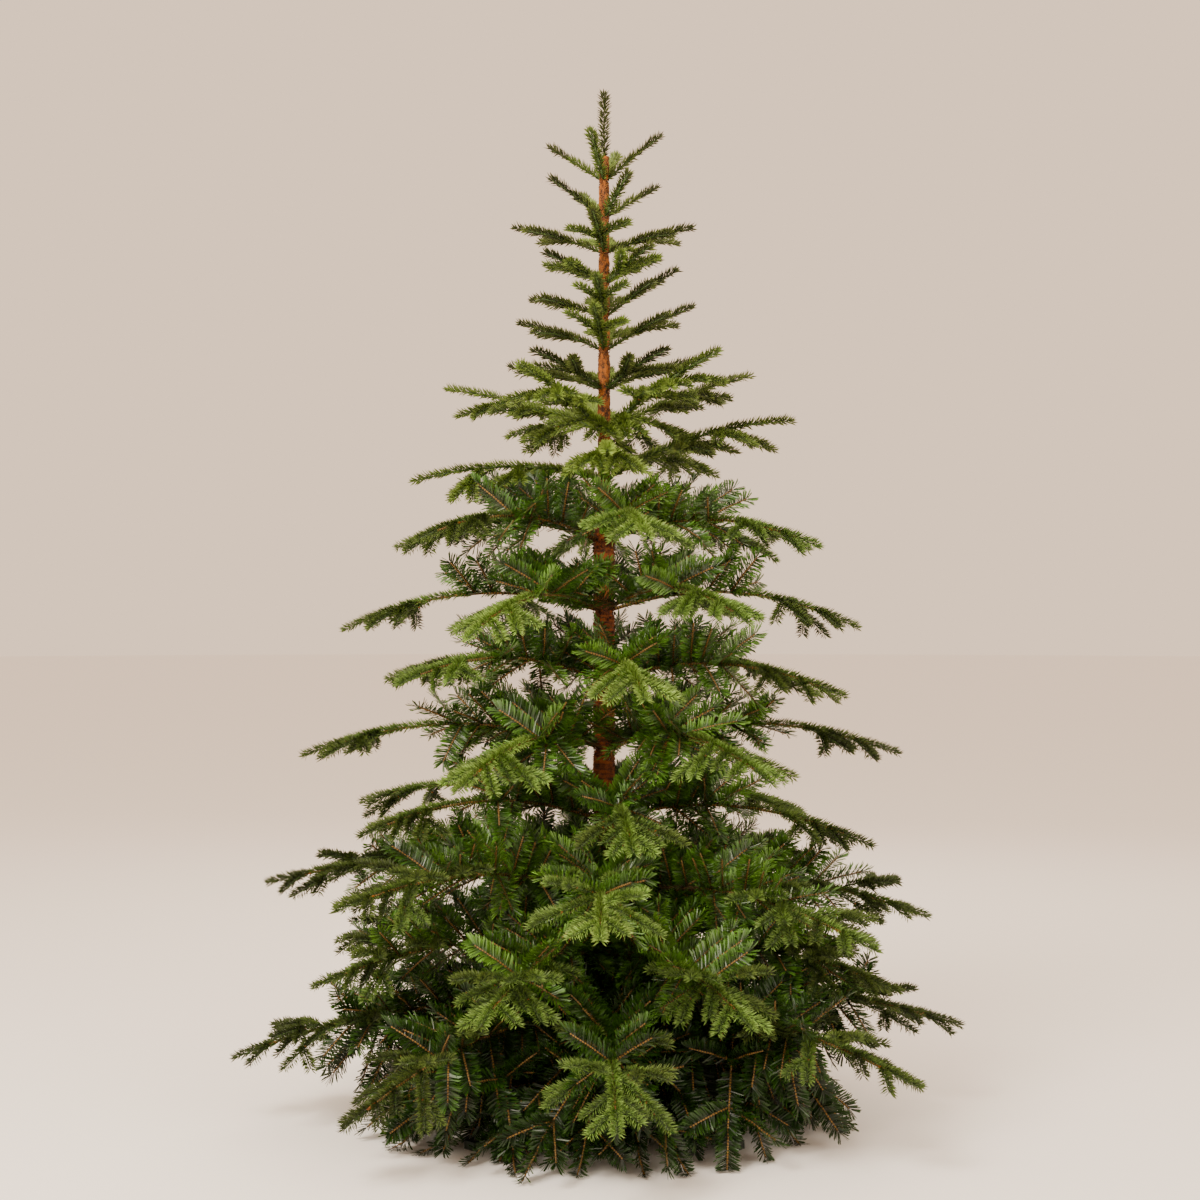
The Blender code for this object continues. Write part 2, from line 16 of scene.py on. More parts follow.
import bpy
import numpy as np
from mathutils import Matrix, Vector

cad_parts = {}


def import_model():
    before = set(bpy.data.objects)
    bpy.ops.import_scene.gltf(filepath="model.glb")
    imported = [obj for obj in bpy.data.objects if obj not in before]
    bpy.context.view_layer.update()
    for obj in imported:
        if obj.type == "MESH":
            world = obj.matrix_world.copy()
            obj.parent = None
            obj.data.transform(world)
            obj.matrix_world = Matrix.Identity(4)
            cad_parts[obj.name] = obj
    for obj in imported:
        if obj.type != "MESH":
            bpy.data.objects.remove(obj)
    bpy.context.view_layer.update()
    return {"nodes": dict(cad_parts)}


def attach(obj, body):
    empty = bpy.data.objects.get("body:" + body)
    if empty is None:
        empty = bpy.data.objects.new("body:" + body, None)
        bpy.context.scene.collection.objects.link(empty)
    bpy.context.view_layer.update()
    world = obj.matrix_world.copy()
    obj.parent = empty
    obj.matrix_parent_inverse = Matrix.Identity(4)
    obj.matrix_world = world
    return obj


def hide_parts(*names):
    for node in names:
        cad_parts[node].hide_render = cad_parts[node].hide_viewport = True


UP = np.array([0.0, 0.0, 1.0])

FLOOR_RADIUS, FLOOR_SIDES = 40, 64
LIT_POINT = (0.0, 0.0, 1.3)

# The pole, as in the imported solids
TREE_HEIGHT = 2.286
WRAP_FOOT_Z = 0.180
BARE_POLE_FOOT_Z = 0.0333
BARE_POLE_RADIUS = 0.016
LOWER_WRAP_RADIUS = 0.0225
SHOULDER_LOW_Z = 1.330
SHOULDER_HIGH_Z = 1.365
UPPER_WRAP_RADIUS = 0.0125
UPPER_FULLNESS = 0.0016  # the upper wrap stands this far proud of its plain solid
POLE_TOP_Z = 2.138
POLE_TOP_RADIUS = 0.0085

# The wraps: their cord, relief and bristle, and their necks where the whorls are bound on.
# Finishes are places in the list of bark finishes.
BARK_PITCH = 0.0105
BARK_KNOB, KNOB_LIMIT = 0.0034, 0.22  # the relief's height, and its most as a share of the radius
KNOB_CONTRAST = 2.4
POLE_SIDES, POLE_RING_STEP = 40, 0.0035
LIMB_SIDES, LIMB_RING_STEP = 14, 0.0045
SHOULDER_OVERLAP, UPPER_OVERLAP = 0.006, 0.010
NECK_SPAN, NECK_FULL, NECK_DEPTH = 0.018, 1.08, 0.24
BRISTLE_WIDTH, BRISTLE_SHOULDER, BRISTLE_FOLD = 0.0023, 0.5, 0.3
DARK_BARK, RED_BARK, ORANGE_BARK, TAN_BARK, LIMB_BARK = 0, 1, 2, 3, 4
LOWER_RELIEF, UPPER_RELIEF, LIMB_RELIEF = 5, 6, 7
Wrap = namedtuple("Wrap", "banding finish bristle_finishes per_metre longest")
LOWER_WRAP = Wrap(0.35, LOWER_RELIEF, (DARK_BARK, RED_BARK, ORANGE_BARK), 11000, 0.0105)
SHOULDER_WRAP = Wrap(0.35, LOWER_RELIEF, (DARK_BARK, RED_BARK, ORANGE_BARK), 9000, 0.0085)
UPPER_WRAP = Wrap(0.12, UPPER_RELIEF, (RED_BARK, ORANGE_BARK, TAN_BARK), 9000, 0.0055)
LIMB_WRAP = Wrap(0.35, LIMB_RELIEF, (LIMB_BARK,), 1500, 0.0075)

# The boughs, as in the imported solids
LIMB_SHARE = 0.36
LIMB_ROOT_RADIUS = 0.0062
LIMB_TIP_RADIUS = 0.0042
STEM_TIP_RADIUS = 0.0024
STEM_RADIUS, STEM_GAIN = 0.0026, 0.0028  # a stem's radius at the pole, and its gain by reach
ROOT_DEPTH = 0.004  # a bough and the leader start this deep in the pole
REACH_JITTER = 0.025
TURN_JITTER = 2.5
RISE_JITTER = 0.03
END_LENGTH, END_LIMIT = 0.150, 0.62  # the limit is a share of the reach
END_ROLL = (-30, 30)
SIDE_LENGTH, SIDE_LIMIT = 0.130, 0.6
SIDE_SWING = (44, 54)
SIDE_ROLL = (30, 50)
SIDE_STAGGER = 0.03
PAIR_START = 0.05
PAIR_STEP = 0.22
PAIR_TILT = 0.12
# Height, reach and slant in metres, lift and sag as shares of the reach. A slant lifts the +X side
Tier = namedtuple("Tier", "height reach lift sag slant boughs first_turn pairs")
TIERS = (
    Tier(2.085, 0.125, 0.72, 0.06, 0.004, 4, -15, 0),
    Tier(2.003, 0.130, 0.62, 0.08, 0.000, 4, 25, 0),
    Tier(1.925, 0.195, 0.40, 0.12, 0.000, 4, -5, 1),
    Tier(1.855, 0.155, 0.52, 0.12, 0.010, 4, 40, 1),
    Tier(1.783, 0.160, 0.55, 0.15, 0.030, 4, -5, 1),
    Tier(1.708, 0.190, 0.55, 0.15, 0.015, 4, 85, 1),
    Tier(1.620, 0.225, 0.42, 0.14, 0.005, 5, 34, 1),
    Tier(1.528, 0.370, 0.46, 0.14, 0.030, 5, 42, 2),
    Tier(1.420, 0.430, 0.38, 0.28, 0.070, 5, 0, 2),
    Tier(1.285, 0.500, 0.38, 0.41, -0.008, 6, 8, 1),
    Tier(1.130, 0.565, 0.34, 0.38, 0.008, 6, -30, 1),
    Tier(0.975, 0.545, 0.36, 0.38, -0.015, 6, 6, 1),
    Tier(0.825, 0.655, 0.32, 0.32, 0.000, 6, -28, 1),
    Tier(0.665, 0.610, 0.35, 0.34, -0.020, 6, 6, 1),
    Tier(0.500, 0.738, 0.30, 0.30, -0.032, 8, 1, 1),
    Tier(0.360, 0.665, 0.31, 0.35, 0.000, 8, -20, 1),
    Tier(0.225, 0.815, 0.22, 0.29, 0.025, 8, 4, 1),
)
LIMB_TIERS = (14, 16)

# The tiers that share their pieces of needles and twigs, from the top down, numbered from 0
SHOULDER, WAIST, SKIRT, HEM = 9, 12, 14, 16
GROUPS = (
    ("crown", range(0, SHOULDER)),
    ("shoulder", range(SHOULDER, WAIST)),
    ("waist", range(WAIST, SKIRT)),
    ("skirt", range(SKIRT, HEM)),
    ("hem", range(HEM, HEM + 1)),
)

# Needles. They lean away from their shoot by lean, and at its end, over a stretch called brush, by
# end_lean. round is an angle about the shoot from its upper side. At 0 they stand all round, up to
# spread to each side, and otherwise in a row to each side, scattered by spread. They face away
# from the shoot, turned about themselves by facing, give or take roll. fold and shoulder are as in
# blades, and stem is the radius of the core or wire.
Habit = namedtuple(
    "Habit",
    "per_metre length width lean end_lean brush round spread facing roll fold shoulder stem",
)
MOULDED = Habit(1750, 0.0205, 0.0032, 54, 36, 0.009, 0, 122, 0, 60, 0.35, 0.50, 0.0020)
SPIKY = Habit(1300, 0.0215, 0.0040, 52, 30, 0.010, 0, 122, 0, 45, 0.35, 0.50, 0.0020)  # the crown's
FLAT = Habit(1120, 0.0290, 0.0029, 64, 24, 0.024, 80, 18, 90, 30, 0.10, 0.82, 0.0026)
GOLDEN_TURN = 0.618034
ROUND_SCATTER, LEAN_SCATTER = 9, 4
ROOT_STRETCH = 0.02  # needles lengthen over a shoot's first stretch
LENGTH_SPREAD = 0.12  # how much lengths vary from needle to needle
LEAST_HEIGHT = 0.006  # nothing reaches lower than this over the floor
ROOT_WIDTH = 0.60  # a cut blade's width at its root, as a share of its full width

# The finishes of stems and needles, by their place in the lists of finishes
TWISTED_WIRE, GREEN_CORE = 0, 1
PALE, SHADED, DARKEST = 0, 3, 4
# The greens that feathers draw from, each as often as it stands here; darker lower down and near the
# floor, as painted shade
HIGH_GREENS = (0, 0, 1, 1, 2)
LOW_GREENS = (0, 0, 1, 2)
LOWEST_SHADED_GREENS = (1, 3, 3)
FLOOR_SHADED_GREENS = (3, 4, 4)

# Steps of darker green in moulded needles: painted shade at the sides, lower down and on the hem,
# and steps by chance
SIDE_SHADE_STEPS, SIDE_POWER, LOW_SHADE_STEPS, HEM_SHADE_STEPS, CHANCE_STEPS = 2.1, 1.5, 0.4, 0.8, (-0.8, 0.7)
SIDEWAYS = 0.6  # a spray points to a side where the sine of its turn is larger
PATCH_MM = 70  # patches of paler and darker green among the needles
WIRE_BANDS = 0.22  # how strong the bands round a twisted wire are

# Stems: how far along its shoot each kind ends, and how far it narrows
STEM_SIDES, STEM_RINGS = 5, 2
CORE_END, CORE_TAPER = 0.97, 0.6
WIRE_END, WIRE_TAPER = 0.94, 0.7
MAIN_END, MAIN_LENGTHS = 0.9, 4  # a bough's stem is this many tubes, end to end
LEAST_SHARE = 0.02  # nothing forks nearer to a shoot's start than this
LEADER_BRUSH = 0.011  # the leader's needles reach this far past its end

# A hand: fingers that fork from a shoot near its end, in pairs
FORK_BACK, NEXT_BACK, FORK_ROOM = (0.85, 1.25), 0.75, 0.012  # in finger lengths, and metres more
FORK_SWING, FORK_ROLL = (38, 60), (0, 25)
FORK_CLIMB, NEXT_FALL = (-9, 6), 8
LENGTHS = (0.85, 1.1)  # how the lengths of fingers and most feathers vary
FINGER_DROOP = 0.12
LAST_BACK, HAND_ROLL = (0.9, 1.2), 12
BUD_START, BUD_END, BUD_RADIUS = 0.985, 0.02, 0.0036

# The crown's boughs: two stretches of needles along each, and its side sprays
CROWN_START, CROWN_SPLIT = 0.03, 0.6
CROWN_LOOK_ON = 0.2  # a side spray climbs as the bough does this much further on
CROWN_TILT, CROWN_CLIMB, CROWN_SWING, CROWN_LENGTHS = 57, (-8, 4), (0.60, 0.85), (0.85, 1)
CROWN_FINGER, CROWN_ROLL, CROWN_SIDE_ROLL = 0.062, 10, 0.4
WIDE_REACH, WIDE_FALL = 0.3, 14  # boughs that reach further have hands, which hang lower
NEAR_HAND_TIER = 7  # the crown tier whose boughs have extra hands that hang near the pole
NEAR_HAND_START, NEAR_HAND_LENGTH = 0.16, 0.17
NEAR_HAND_CLIMB, NEAR_HAND_SWING = (-20, -4), (28, 52)

# The lower boughs' hands
TIP_SAG = {10: 0.016, 12: 0.032, 13: 0.016, 14: 0.004, 16: 0.012}  # how much lower tips hang
LEAST_BARE, CLOTHED_LENGTH = 0.3, 0.29  # moulded needles start at this share or later
END_FINGER, SIDE_FINGER, LOW_FINGER = 0.085, 0.070, 0.060
COMPACT = 0.86  # the share of their length that fingers have below the waist's first tier
HAND_DROOP = 0.16
SIDE_LOOK_ON, SIDE_CLIMB, SIDE_SWINGS, SIDE_LENGTHS = 0.1, (-5, 8), (0.8, 1.1), (0.9, 1.1)
LOW_HANDS = (0.53, 0.70)  # where more hands fork from the boughs of the skirt and hem
LOW_HAND_SHIFT, LOW_HAND_SWING, LOW_HAND_CLIMB = 0.05, (30, 50), (2, 28)
LOW_HAND_LENGTH, LOW_HAND_START = 0.15, 0.2
INNER_START, INNER_FULLNESS = 0.06, 0.8

# Feathers: where along a bough they end, for each tier that has them, and how they grow
FEATHERED = {9: 0.48, 10: 0.49, 11: 0.50, 12: 0.50, 13: 0.47, 14: 0.66, 15: 0.70, 16: 0.70}
FEATHER_FROM, FEATHER_STEP, FEATHER_SHIFT = 0.03, 0.039, 0.35
FEATHER_LENGTH, OUT_SHORTER = 0.150, 0.14
FEATHER_CLIMB, OUT_FALL, NEAR_FALL, CLIMB_SCATTER = 62, 34, 40, 14
LEAST_SWING, MOST_SWING, NEAR_SWING, OUT_LEAST_SWING, OUT_MOST_SWING = 44, 80, 10, 14, 8
FEATHER_DROOP, FEATHER_ROLL = 0.08, 70
OPEN_REACH = 0.12  # so far from the pole, feathers stay low and leave it in view between tiers
SINGLE_NEAR = 0.35  # feathers are single where nearness, 1 at the pole and 0 there, is above this
FALLING = {10: 0, 12: 2}  # feathers that fall from a bough at each step, one if its tier isn't here
FALLING_SWING, FALLING_CLIMB, FALLING_LENGTHS = (20, 80), (-42, -6), (0.70, 0.85)
FALLING_DROOP, FALLING_ROLL = 0.10, 40

# The lowest tier's own feathers, which hang nearly to the floor and hide the stand
HANGING_FROM, HANGING_TO, HANGING_STEP = 0.06, 0.60, 0.054
HANGING_LENGTH, HANGING_SHORTER = 0.220, 0.25
HANGING_SWING, HANGING_CLIMB, HANGING_RISE, HANGING_SCATTER = (4, 70), -72, 22, 10
HANGING_DROOP, HANGING_ROLL = 0.06, 60
# Its twigs: share, swing and climb. Their feathers: share, side and climb
LOW_TWIGS = ((0.14, 55, -32), (0.28, 55, -34), (0.43, 54, -45), (0.34, 20, -48))
LOW_TWIG_LENGTH, LOW_TWIG_DROOP, LOW_TWIG_ROLL = 0.27, 0.04, 30
LOW_FEATHERS = ((0.40, 1, 24), (0.40, -1, 24), (0.80, 1, -20), (0.80, -1, -20), (0.86, 0, -54))
LOW_FEATHER_SWING, LOW_FEATHER_CLIMB, LOW_FEATHER_LENGTHS = (34, 62), 18, (0.65, 0.85)

Course = namedtuple("Course", "start slope bend")
Shoot = namedtuple("Shoot", "course over shade fullness size", defaults=(1.0, 1.0))


def outward(turn):
    """The level unit vector that a turn in degrees faces."""
    angle = math.radians(turn)
    return np.array([math.sin(angle), -math.cos(angle), 0.0])


def unit(vectors):
    """Vectors scaled to length 1 along their last axis."""
    return vectors / np.linalg.norm(vectors, axis=-1, keepdims=True)


def at(course, share):
    """A point on a course: start + slope * share + bend * share squared."""
    return course.start + course.slope * share + course.bend * share ** 2


def heading(course, share):
    """The unit direction of a course at a share of it: slope + 2 * bend * share, scaled to 1."""
    return unit(course.slope + 2 * course.bend * share)


def stretch(course, low, crown_shade_step):
    """The part of a course between two shares, as a course of its own."""
    span = crown_shade_step - low
    slope = (course.slope + 2 * course.bend * low) * span
    return Course(at(course, low), slope, course.bend * span ** 2)


def upright(foot, length):
    """A straight course up the pole's axis."""
    return Course(UP * foot, UP * length, UP * 0.0)


def reach_of(course):
    """A course's length, taken over eight chords."""
    points = np.array([at(course, k / 8) for k in range(9)])
    return float(np.linalg.norm(np.diff(points, axis=0), axis=1).sum())


def sides_of(ways):
    """The level direction to the side of each way, +X if the way is upright, and the upper side."""
    flat = np.cross(ways, UP)
    steep = np.linalg.norm(flat, axis=-1, keepdims=True) < 1e-4
    side = unit(np.where(steep, np.array([1.0, 0.0, 0.0]), flat))
    return side, np.cross(side, ways)


def upper_side(course, roll=0.0):
    """The direction that a course's upper side faces at its middle, turned about it by roll."""
    side, over = sides_of(heading(course, 0.5))
    angle = math.radians(roll)
    return over * math.cos(angle) + side * math.sin(angle)


def gathered(courses, index):
    """Many courses as one, whose start, slope and bend are arrays that index picks rows from."""
    return Course(*(np.array(part)[index] for part in zip(*courses)))


def within(chance, most):
    """A draw between -most and most."""
    return chance.uniform(-most, most)


def pole_radius(height):
    """The wrapped pole's radius at a height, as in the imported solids."""
    if height < SHOULDER_LOW_Z:
        return LOWER_WRAP_RADIUS
    share = (height - SHOULDER_HIGH_Z) / (POLE_TOP_Z - SHOULDER_HIGH_Z)
    return UPPER_WRAP_RADIUS + (POLE_TOP_RADIUS - UPPER_WRAP_RADIUS) * max(0, share)


class Bough:
    """One bough: its course, its own source of chance, and how much larger its sprays are."""

    def __init__(self, tier_index, number):
        tier = TIERS[tier_index]
        chance = random.Random(100 * tier_index + number)
        self.index = tier_index
        self.tier = tier
        self.turn = tier.first_turn + 360 * number / tier.boughs
        self.turn += within(chance, TURN_JITTER)
        self.reach = tier.reach * (1 + within(chance, REACH_JITTER))
        rise = tier.reach * within(chance, RISE_JITTER)
        way = outward(self.turn)
        rise += tier.slant * way[0]
        root = pole_radius(tier.height) - ROOT_DEPTH
        self.course = Course(
            way * root + UP * tier.height,
            way * (self.reach - root) + UP * (tier.reach * tier.lift + rise),
            -UP * tier.reach * tier.sag,
        )
        self.chance = chance
        self.size = max(1, tier.reach / 0.6)

    def sprays(self):
        """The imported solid's side sprays: (share, swing, tilt, roll, length)."""
        tier, chance = self.tier, self.chance
        junction = 1 - min(END_LENGTH * self.size, END_LIMIT * tier.reach) / self.reach
        chance.uniform(*END_ROLL)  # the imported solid's end spray draws before these
        side_length = min(SIDE_LENGTH * self.size, SIDE_LIMIT * tier.reach)
        for pair in range(tier.pairs):
            for side in (1, -1):
                share = junction - PAIR_START - PAIR_STEP * pair + SIDE_STAGGER * side
                swing = side * chance.uniform(*SIDE_SWING)
                roll = side * chance.uniform(*SIDE_ROLL)
                yield share, swing, PAIR_TILT * pair, roll, side_length


class Growth:
    """What grows in one group of tiers, gathered before any of it is made."""

    def __init__(self):
        self.fingers = []  # shoots of moulded needles
        self.feathers = []  # shoots of flat needles
        self.low_feathers = []  # shoots of flat needles that hang to the floor
        self.stems = []  # (course, radius at its start, radius at its end, finish)
        self.buds = []  # (course, thickest radius)
        self.limbs = []  # (course, radius at its start, radius at its end)


def side_course(parent, share, turn, climb, length, droop):
    """A course that leaves its parent at a share of it, climbs at an angle and sags by droop."""
    level, rise = math.cos(math.radians(climb)), math.sin(math.radians(climb))
    way = outward(turn) * level + UP * rise
    return Course(at(parent, share), way * length, -UP * droop * length)


def climb_of(course, share):
    """The angle in degrees at which a course climbs at a share of it."""
    return math.degrees(math.asin(heading(course, share)[2]))


def add_finger(growth, course, roll, shade, size=1.0):
    """A moulded finger: short needles round a green core."""
    growth.fingers.append(Shoot(course, upper_side(course, roll), shade, size=size))
    core = stretch(course, 0, CORE_END)
    growth.stems.append((core, MOULDED.stem, MOULDED.stem * CORE_TAPER, GREEN_CORE))


def add_feather(growth, shoots, course, most_roll, greens, chance):
    """A feather, put among shoots: two rows of flat needles on a twisted wire."""
    over = upper_side(course, within(chance, most_roll))
    shoots.append(Shoot(course, over, chance.choice(greens)))
    wire = stretch(course, 0, WIRE_END)
    growth.stems.append((wire, FLAT.stem, FLAT.stem * WIRE_TAPER, TWISTED_WIRE))


def add_main_stem(growth, bough, first, finish):
    """A bough's own stem from the share first nearly to its tip, in lengths that follow its bend."""
    shares = np.linspace(first, MAIN_END, MAIN_LENGTHS + 1)
    at_pole = min(STEM_RADIUS + STEM_GAIN * bough.tier.reach, LIMB_TIP_RADIUS)
    radii = np.linspace(at_pole, STEM_TIP_RADIUS, MAIN_LENGTHS + 1)
    for k in range(MAIN_LENGTHS):
        course = stretch(bough.course, shares[k], shares[k + 1])
        growth.stems.append((course, radii[k], radii[k + 1], finish))


def moulded_shade(bough, chance):
    """A bough's moulded green: darker at the sides, and on the lower tiers, as painted shade."""
    side_on = abs(math.sin(math.radians(bough.turn)))
    low = LOW_SHADE_STEPS * (bough.index > WAIST) + HEM_SHADE_STEPS * (bough.index == HEM)
    steps = SIDE_SHADE_STEPS * side_on ** SIDE_POWER + low + chance.uniform(*CHANCE_STEPS)
    return int(min(SHADED, max(PALE, round(steps))))


def flat_greens(bough):
    """The greens of a bough's feathers: darker towards the floor, as painted shade."""
    low = LOW_GREENS if bough.index < HEM else LOWEST_SHADED_GREENS
    return HIGH_GREENS if bough.index < SKIRT else low


def end_shade(turn, shade):
    """The green of a spray's end: one step darker where it points to a side, as painted shade."""
    return min(DARKEST, shade + (abs(math.sin(math.radians(turn))) > SIDEWAYS))


def grow_hand(growth, course, turn, first, finger, chance, shade, sides=(1, -1)):
    """A course clothed from the share first, with fingers that fork near its end, and a bud there.

    Each entry of sides is one finger's side. From the third on, fingers fork further back, climb
    less and are a step darker.
    """
    total = reach_of(course)
    ends = end_shade(turn, shade)
    for k, side in enumerate(sides):
        pair = k // 2
        back = finger * (chance.uniform(*FORK_BACK) + NEXT_BACK * pair) + FORK_ROOM
        share = max(LEAST_SHARE, 1 - back / total)
        climb = climb_of(course, share) + chance.uniform(*FORK_CLIMB) - NEXT_FALL * pair
        swing = side * chance.uniform(*FORK_SWING)
        length = finger * chance.uniform(*LENGTHS)
        fork = side_course(course, share, turn + swing, climb, length, FINGER_DROOP)
        add_finger(growth, fork, side * chance.uniform(*FORK_ROLL), min(DARKEST, ends + pair))
    share = max(LEAST_SHARE, 1 - (finger * chance.uniform(*LAST_BACK) + FORK_ROOM) / total)
    roll = within(chance, HAND_ROLL)
    middle = max(first + LEAST_SHARE, share)
    add_finger(growth, stretch(course, first, middle), roll, shade)
    add_finger(growth, stretch(course, middle, 1), roll, ends)
    growth.buds.append((stretch(course, BUD_START * share, share + BUD_END), BUD_RADIUS))


def grow_crown_bough(growth, bough, chance):
    """A slender upper bough, clothed from the pole to its tip, with its side sprays.

    Above NEAR_HAND_TIER it is a step darker, as painted shade, and on that tier it has more hands.
    """
    crown_shade_step = int(bough.index < NEAR_HAND_TIER)
    shade = min(SHADED, moulded_shade(bough, chance) + crown_shade_step)
    roll = within(chance, CROWN_ROLL)
    ends = min(DARKEST, end_shade(bough.turn, shade) + crown_shade_step)
    add_finger(growth, stretch(bough.course, CROWN_START, CROWN_SPLIT), roll, shade)
    add_finger(growth, stretch(bough.course, CROWN_SPLIT, 1), roll, ends)
    wide = bough.tier.reach > WIDE_REACH
    for share, swing, tilt, roll, length in bough.sprays():
        climb = climb_of(bough.course, share + CROWN_LOOK_ON) + CROWN_TILT * tilt
        climb += chance.uniform(*CROWN_CLIMB)
        climb -= WIDE_FALL * wide
        turn = bough.turn + swing * chance.uniform(*CROWN_SWING)
        length *= chance.uniform(*CROWN_LENGTHS)
        course = side_course(bough.course, share, turn, climb, length, FINGER_DROOP)
        if wide:
            grow_hand(growth, course, turn, 0, CROWN_FINGER, chance, shade)
        else:
            add_finger(growth, course, roll * CROWN_SIDE_ROLL, shade)
    for side in (1, -1) if bough.index == NEAR_HAND_TIER else ():
        climb = chance.uniform(*NEAR_HAND_CLIMB)
        turn = bough.turn + side * chance.uniform(*NEAR_HAND_SWING)
        length = NEAR_HAND_LENGTH * chance.uniform(*LENGTHS)
        course = side_course(bough.course, NEAR_HAND_START, turn, climb, length, FINGER_DROOP)
        grow_hand(growth, course, turn, 0, CROWN_FINGER, chance, shade)
    add_main_stem(growth, bough, 0.0, GREEN_CORE)


def grow_full_bough(growth, bough, chance):
    """A lower bough: feathers on its inner part, moulded hands beyond them."""
    start, slope, bend = bough.course
    course = bough.course = Course(start, slope, bend - UP * TIP_SAG.get(bough.index, 0))
    total = reach_of(course)
    clothed = max(LEAST_BARE, 1 - CLOTHED_LENGTH * bough.size / total)
    shade = moulded_shade(bough, chance)
    compact = COMPACT if bough.index > WAIST else 1.0
    finger = END_FINGER * compact
    grow_hand(growth, course, bough.turn, clothed, finger, chance, shade, (1, -1, 1, -1))
    for share, swing, _, _, length in bough.sprays():
        climb = climb_of(course, share + SIDE_LOOK_ON) + chance.uniform(*SIDE_CLIMB)
        turn = bough.turn + swing * chance.uniform(*SIDE_SWINGS)
        length *= chance.uniform(*SIDE_LENGTHS)
        side = side_course(course, share, turn, climb, length, HAND_DROOP)
        shade_here = min(SHADED, shade + chance.choice((0, 1)))
        outer = (1,) if swing > 0 else (-1,)
        grow_hand(growth, side, turn, 0, SIDE_FINGER * compact, chance, shade_here, outer)
    for spot, side in itertools.product(LOW_HANDS if bough.index >= SKIRT else (), (1, -1)):
        turn = bough.turn + side * chance.uniform(*LOW_HAND_SWING)
        climb = chance.uniform(*LOW_HAND_CLIMB)
        share = spot + within(chance, LOW_HAND_SHIFT)
        hand = side_course(course, share, turn, climb, LOW_HAND_LENGTH, HAND_DROOP)
        grow_hand(growth, hand, turn, LOW_HAND_START, LOW_FINGER, chance, min(SHADED, shade + 1))
    add_main_stem(growth, bough, LIMB_SHARE if bough.index in LIMB_TIERS else 0.0, TWISTED_WIRE)
    inner = stretch(course, INNER_START, clothed)
    green = chance.choice(flat_greens(bough))
    growth.feathers.append(Shoot(inner, upper_side(inner), green, fullness=INNER_FULLNESS))
    grow_feathers(growth, bough, total, chance)
    if bough.index == HEM:
        grow_hanging_feathers(growth, bough, total, chance)
        grow_low_twigs(growth, bough, chance)


def grow_feathers(growth, bough, total, chance):
    """Feathers along a bough's inner part: pairs that rise, and single ones that fall.

    Near the pole, above the skirt, single feathers stay low, so that the pole shows between the
    tiers. Beyond OPEN_REACH they rise steeply in pairs, and less steeply further out.
    """
    last, greens = FEATHERED[bough.index], flat_greens(bough)
    step = FEATHER_STEP / total
    share = FEATHER_FROM / total
    while share < last:
        out = share / last
        near = max(0.0, 1 - share * total / OPEN_REACH) if bough.index < SKIRT else 0.0
        for side in (1, -1) if near < SINGLE_NEAR else (chance.choice((1, -1)),):
            here = max(LEAST_SHARE, share + step * within(chance, FEATHER_SHIFT))
            climb = FEATHER_CLIMB - OUT_FALL * out - NEAR_FALL * near
            climb += within(chance, CLIMB_SCATTER)
            least = LEAST_SWING + NEAR_SWING * near - OUT_LEAST_SWING * out
            most = MOST_SWING - OUT_MOST_SWING * out
            turn = bough.turn + side * chance.uniform(least, most)
            length = FEATHER_LENGTH * (1 - OUT_SHORTER * out) * chance.uniform(*LENGTHS)
            twig = side_course(bough.course, here, turn, climb, length, FEATHER_DROOP)
            add_feather(growth, growth.feathers, twig, FEATHER_ROLL, greens, chance)
        for _ in range(0 if near else FALLING.get(bough.index, 1)):
            turn = bough.turn + chance.choice((1, -1)) * chance.uniform(*FALLING_SWING)
            length = FEATHER_LENGTH * chance.uniform(*FALLING_LENGTHS)
            climb = chance.uniform(*FALLING_CLIMB)
            twig = side_course(bough.course, share, turn, climb, length, FALLING_DROOP)
            add_feather(growth, growth.feathers, twig, FALLING_ROLL, greens, chance)
        share += step


def grow_hanging_feathers(growth, bough, total, chance):
    """Feathers that hang from the lowest boughs nearly to the floor and hide the stand.

    Those near the pole hang steeply, and further out they are shorter and flatter.
    """
    share = HANGING_FROM
    while share < HANGING_TO:
        out = share / HANGING_TO
        for side in (1, -1, 0):
            turn = bough.turn + side * chance.uniform(*HANGING_SWING)
            climb = HANGING_CLIMB + HANGING_RISE * out * abs(side)
            climb += within(chance, HANGING_SCATTER)
            length = HANGING_LENGTH * (1 - HANGING_SHORTER * out) * chance.uniform(*LENGTHS)
            twig = side_course(bough.course, share, turn, climb, length, HANGING_DROOP)
            add_feather(growth, growth.low_feathers, twig, HANGING_ROLL, FLOOR_SHADED_GREENS, chance)
        share += HANGING_STEP / total


def grow_low_twigs(growth, bough, chance):
    """Twigs that spread sideways and down from the lowest boughs, with feathers along them.

    A bare wire runs along 0.7 of a twig, and needles clothe its outer half.
    """
    shoots = growth.low_feathers
    for share, swing, fall in LOW_TWIGS:
        for side in (1, -1):
            turn = bough.turn + side * (swing + within(chance, 9))
            climb = fall + within(chance, 4)
            twig = side_course(bough.course, share, turn, climb, LOW_TWIG_LENGTH, LOW_TWIG_DROOP)
            wire = stretch(twig, 0, 0.7)
            growth.stems.append((wire, FLAT.stem, FLAT.stem * 0.8, TWISTED_WIRE))
            end = stretch(twig, 0.5, 1)
            add_feather(growth, shoots, end, LOW_TWIG_ROLL, FLOOR_SHADED_GREENS, chance)
            for spot, hand, rise in LOW_FEATHERS:
                way = turn + hand * chance.uniform(*LOW_FEATHER_SWING)
                climb = rise + within(chance, LOW_FEATHER_CLIMB)
                length = FEATHER_LENGTH * chance.uniform(*LOW_FEATHER_LENGTHS)
                feather = side_course(twig, spot, way, climb, length, FEATHER_DROOP)
                add_feather(growth, shoots, feather, HANGING_ROLL, FLOOR_SHADED_GREENS, chance)


